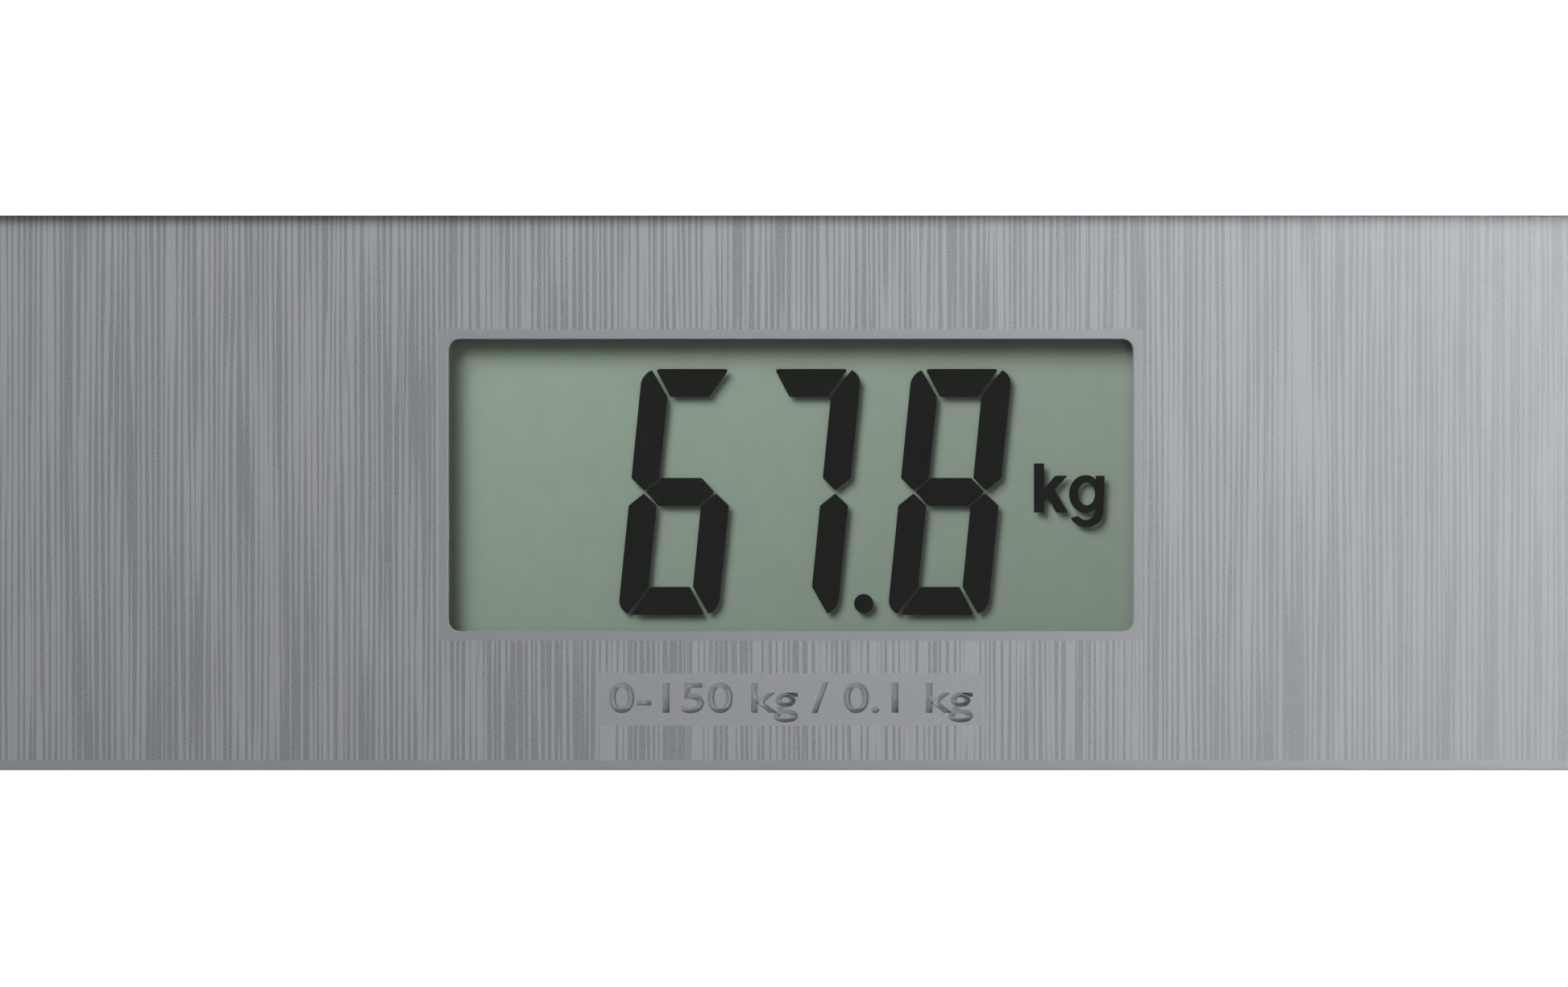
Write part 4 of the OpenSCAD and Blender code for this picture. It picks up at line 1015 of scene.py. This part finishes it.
def makeSprings():
    low, high = boxOf("battery_springs")
    # each coil stands on its plate at one end of the bay, on a cell's axis
    cells = [(low.x, middleOf("battery_front"), 1), (high.x, middleOf("battery_rear"), -1)]
    bm = bmesh.new()
    for wallX, cell, way in cells:
        x = wallX + way * coil["plateThick"] / 2
        bmesh.ops.create_cube(bm, size=1, matrix=Matrix.Translation((x, cell.y, cell.z)) @ Matrix.Diagonal(
            (coil["plateThick"], coil["plate"], coil["plate"], 1)))
    bmesh.ops.bevel(bm, geom=bm.edges[:], offset=0.08 * mm, segments=2, affect="EDGES", profile=0.5)
    piece = newPiece("contact_springs", meshFrom(bm, "contact_springs", 30), springSteel)
    gap = boxOf("battery_front")[0].x - low.x - coil["plateThick"]
    g = Growth("coils")
    wire = g.ask("Wire radius", coil["wire"])
    turns = g.ask("Turns", float(coil["turns"]))
    wide = g.ask("Foot radius", coil["wide"])
    narrow = g.ask("Tip radius", coil["narrow"])
    tall = g.ask("Height", float(gap - 2 * coil["wire"]))
    paint = g.ask("Material", springSteel)
    line = g.node("GeometryNodeCurveSpiral", None,
                  {"Resolution": 22, "Rotations": turns, "Start Radius": wide, "End Radius": narrow,
                   "Height": tall, "Reverse": False})
    section = g.node("GeometryNodeCurvePrimitiveCircle", None, {"Resolution": 10, "Radius": wire})
    tube = g.node("GeometryNodeCurveToMesh", None,
                  {"Curve": line, "Profile Curve": section, "Fill Caps": True})
    join = g.tree.nodes.new("GeometryNodeJoinGeometry")
    g.tree.links.new(g.into.outputs[0], join.inputs[0])
    for wallX, cell, way in cells:
        turned = g.node("GeometryNodeTransform", None, {
            "Geometry": tube, "Rotation": (0, way * math.pi / 2, 0),
            "Translation": (wallX + way * (coil["plateThick"] + coil["wire"] * 0.8), cell.y, cell.z)})
        g.tree.links.new(turned, join.inputs[0])
    g.end(join.outputs[0], paint)
    g.grow(piece)
    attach(piece, "platform")
    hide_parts("battery_springs")


print("springs")
makeSprings()

# ---- battery door with grip ridges ----

doorGrip = {"ridges": 7, "pitch": 1.3 * mm, "length": 17 * mm, "rise": 0.22 * mm, "width": 0.6 * mm,
            "fromEdge": 8.6 * mm, "raise": 0.04 * mm}


def makeDoor():
    door = easedCopy("battery_door", "bay_door", softEdges["door"], doorPlastic)
    low, high = boxOf("battery_door")
    g = Growth("grip")
    count = g.ask("Ridges", doorGrip["ridges"])
    pitch = g.ask("Pitch", doorGrip["pitch"])
    size = g.ask("Ridge size", Vector((doorGrip["length"], doorGrip["width"], doorGrip["rise"])))
    paint = g.ask("Material", doorPlastic)
    back = g.node("ShaderNodeMath", {"operation": "MULTIPLY"}, {0: pitch, 1: -1.0})
    step = g.node("ShaderNodeCombineXYZ", None, {"Y": back})
    start = (0, high.y - doorGrip["fromEdge"], low.z - doorGrip["raise"])
    line = g.node("GeometryNodeMeshLine", None, {"Count": count, "Start Location": start, "Offset": step})
    ridge = g.node("GeometryNodeMeshCube", None, {"Size": size})
    placed = g.node("GeometryNodeInstanceOnPoints", None, {"Points": line, "Instance": ridge})
    real = g.node("GeometryNodeRealizeInstances", None, {0: placed})
    join = g.tree.nodes.new("GeometryNodeJoinGeometry")
    g.tree.links.new(real, join.inputs[0])
    g.tree.links.new(g.into.outputs[0], join.inputs[0])
    g.end(join.outputs[0], paint)
    g.grow(door)
    door.data.shade_smooth()
    door.data.set_sharp_from_angle(angle=math.radians(softEdges["sharperThan"]))
    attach(door, "battery_door")
    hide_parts("battery_door")


print("battery door")
makeDoor()

# ---- floor, light and camera ----

room = {"floorSize": 14.0, "floorTone": (0.56, 0.56, 0.555),
        "keyPower": 48.0, "keySize": (0.90, 0.96), "keyAway": 1.7, "keyHeading": 39, "keyHeight": 48,
        "sidePower": 2.5, "sideSize": (1.0, 0.12), "sideAway": 1.3, "sideHeading": -80, "sideHeight": 78,
        "zenith": 0.07, "horizon": 0.80}


def makeFloor():
    bm = bmesh.new()
    half = room["floorSize"] / 2
    bm.faces.new([bm.verts.new((x * half, y * half, 0)) for x, y in ((-1, -1), (1, -1), (1, 1), (-1, 1))])
    f = Finish("pale_floor")
    cloud = f.noise(f.place, 3, 4, 0.6)
    fleck = f.noise(f.place, 600, 3, 0.6, 2)
    tone = f.between(cloud, 0.3, 0.7, 0.97, 1.03) * f.between(fleck, 0.3, 0.7, 0.985, 1.015)
    pale = f.end(f.surface(colour=f.shade(room["floorTone"], tone), gloss=0.3,
                           rough=0.7 + 0.1 * (fleck - 0.5)))
    newPiece("floor", meshFrom(bm, "floor"), pale)


def addPanel(name):  # a soft panel turned to the window; its settings start with its name
    lamp = bpy.data.lights.new(name, "AREA")
    lamp.shape = "RECTANGLE"
    lamp.size, lamp.size_y = room[name + "Size"]
    lamp.energy = room[name + "Power"]
    panel = bpy.data.objects.new(name, lamp)
    bpy.context.scene.collection.objects.link(panel)
    heading, height = (math.radians(room[name + part]) for part in ("Heading", "Height"))
    way = Vector((-math.sin(heading) * math.cos(height), math.cos(heading) * math.cos(height),
                  math.sin(height)))
    panel.location = windowMiddle + way * room[name + "Away"]
    panel.rotation_euler = way.to_track_quat("Z", "Y").to_euler()
    return panel


print("floor, light and camera")
makeFloor()
addPanel("key").visible_glossy = False  # keeps the panel's mirror image off the glass
addPanel("side")

world = bpy.data.worlds.new("studio")
bpy.context.scene.world = world
world.use_nodes = True
sky = world.node_tree
sky.nodes.clear()
way = sky.nodes.new("ShaderNodeTexCoord")
split = sky.nodes.new("ShaderNodeSeparateXYZ")
ramp = sky.nodes.new("ShaderNodeValToRGB")
glow = sky.nodes.new("ShaderNodeBackground")
end = sky.nodes.new("ShaderNodeOutputWorld")
sky.links.new(way.outputs["Generated"], split.inputs[0])
sky.links.new(split.outputs["Z"], ramp.inputs[0])
sky.links.new(ramp.outputs[0], glow.inputs["Color"])
sky.links.new(glow.outputs[0], end.inputs["Surface"])
stops = ramp.color_ramp.elements
stops[0].position, stops[1].position = 0.05, 0.55
stops[0].color = (room["horizon"],) * 3 + (1,)
stops[1].color = (room["zenith"],) * 3 + (1,)

camera = {"lens": 200, "sensor": 36, "across": 159 * mm, "aimX": -0.7 * mm, "aimY": -0.06 * mm}
lens = bpy.data.cameras.new("camera")
lens.lens, lens.sensor_width = camera["lens"], camera["sensor"]
lens.clip_start, lens.clip_end = 0.02, 40
viewer = bpy.data.objects.new("camera", lens)
bpy.context.scene.collection.objects.link(viewer)
bandTop = boxOf("display_fascia")[1].z
viewer.location = (bandMiddle.x + camera["aimX"], bandMiddle.y + camera["aimY"],
                   bandTop + camera["across"] * camera["lens"] / camera["sensor"])
viewer.rotation_euler = (0, 0, 0)
bpy.context.scene.camera = viewer
bpy.context.scene.view_settings.view_transform = "Standard"
bpy.context.scene.cycles.transparent_max_bounces = 32  # six glass faces lie over the film, each way
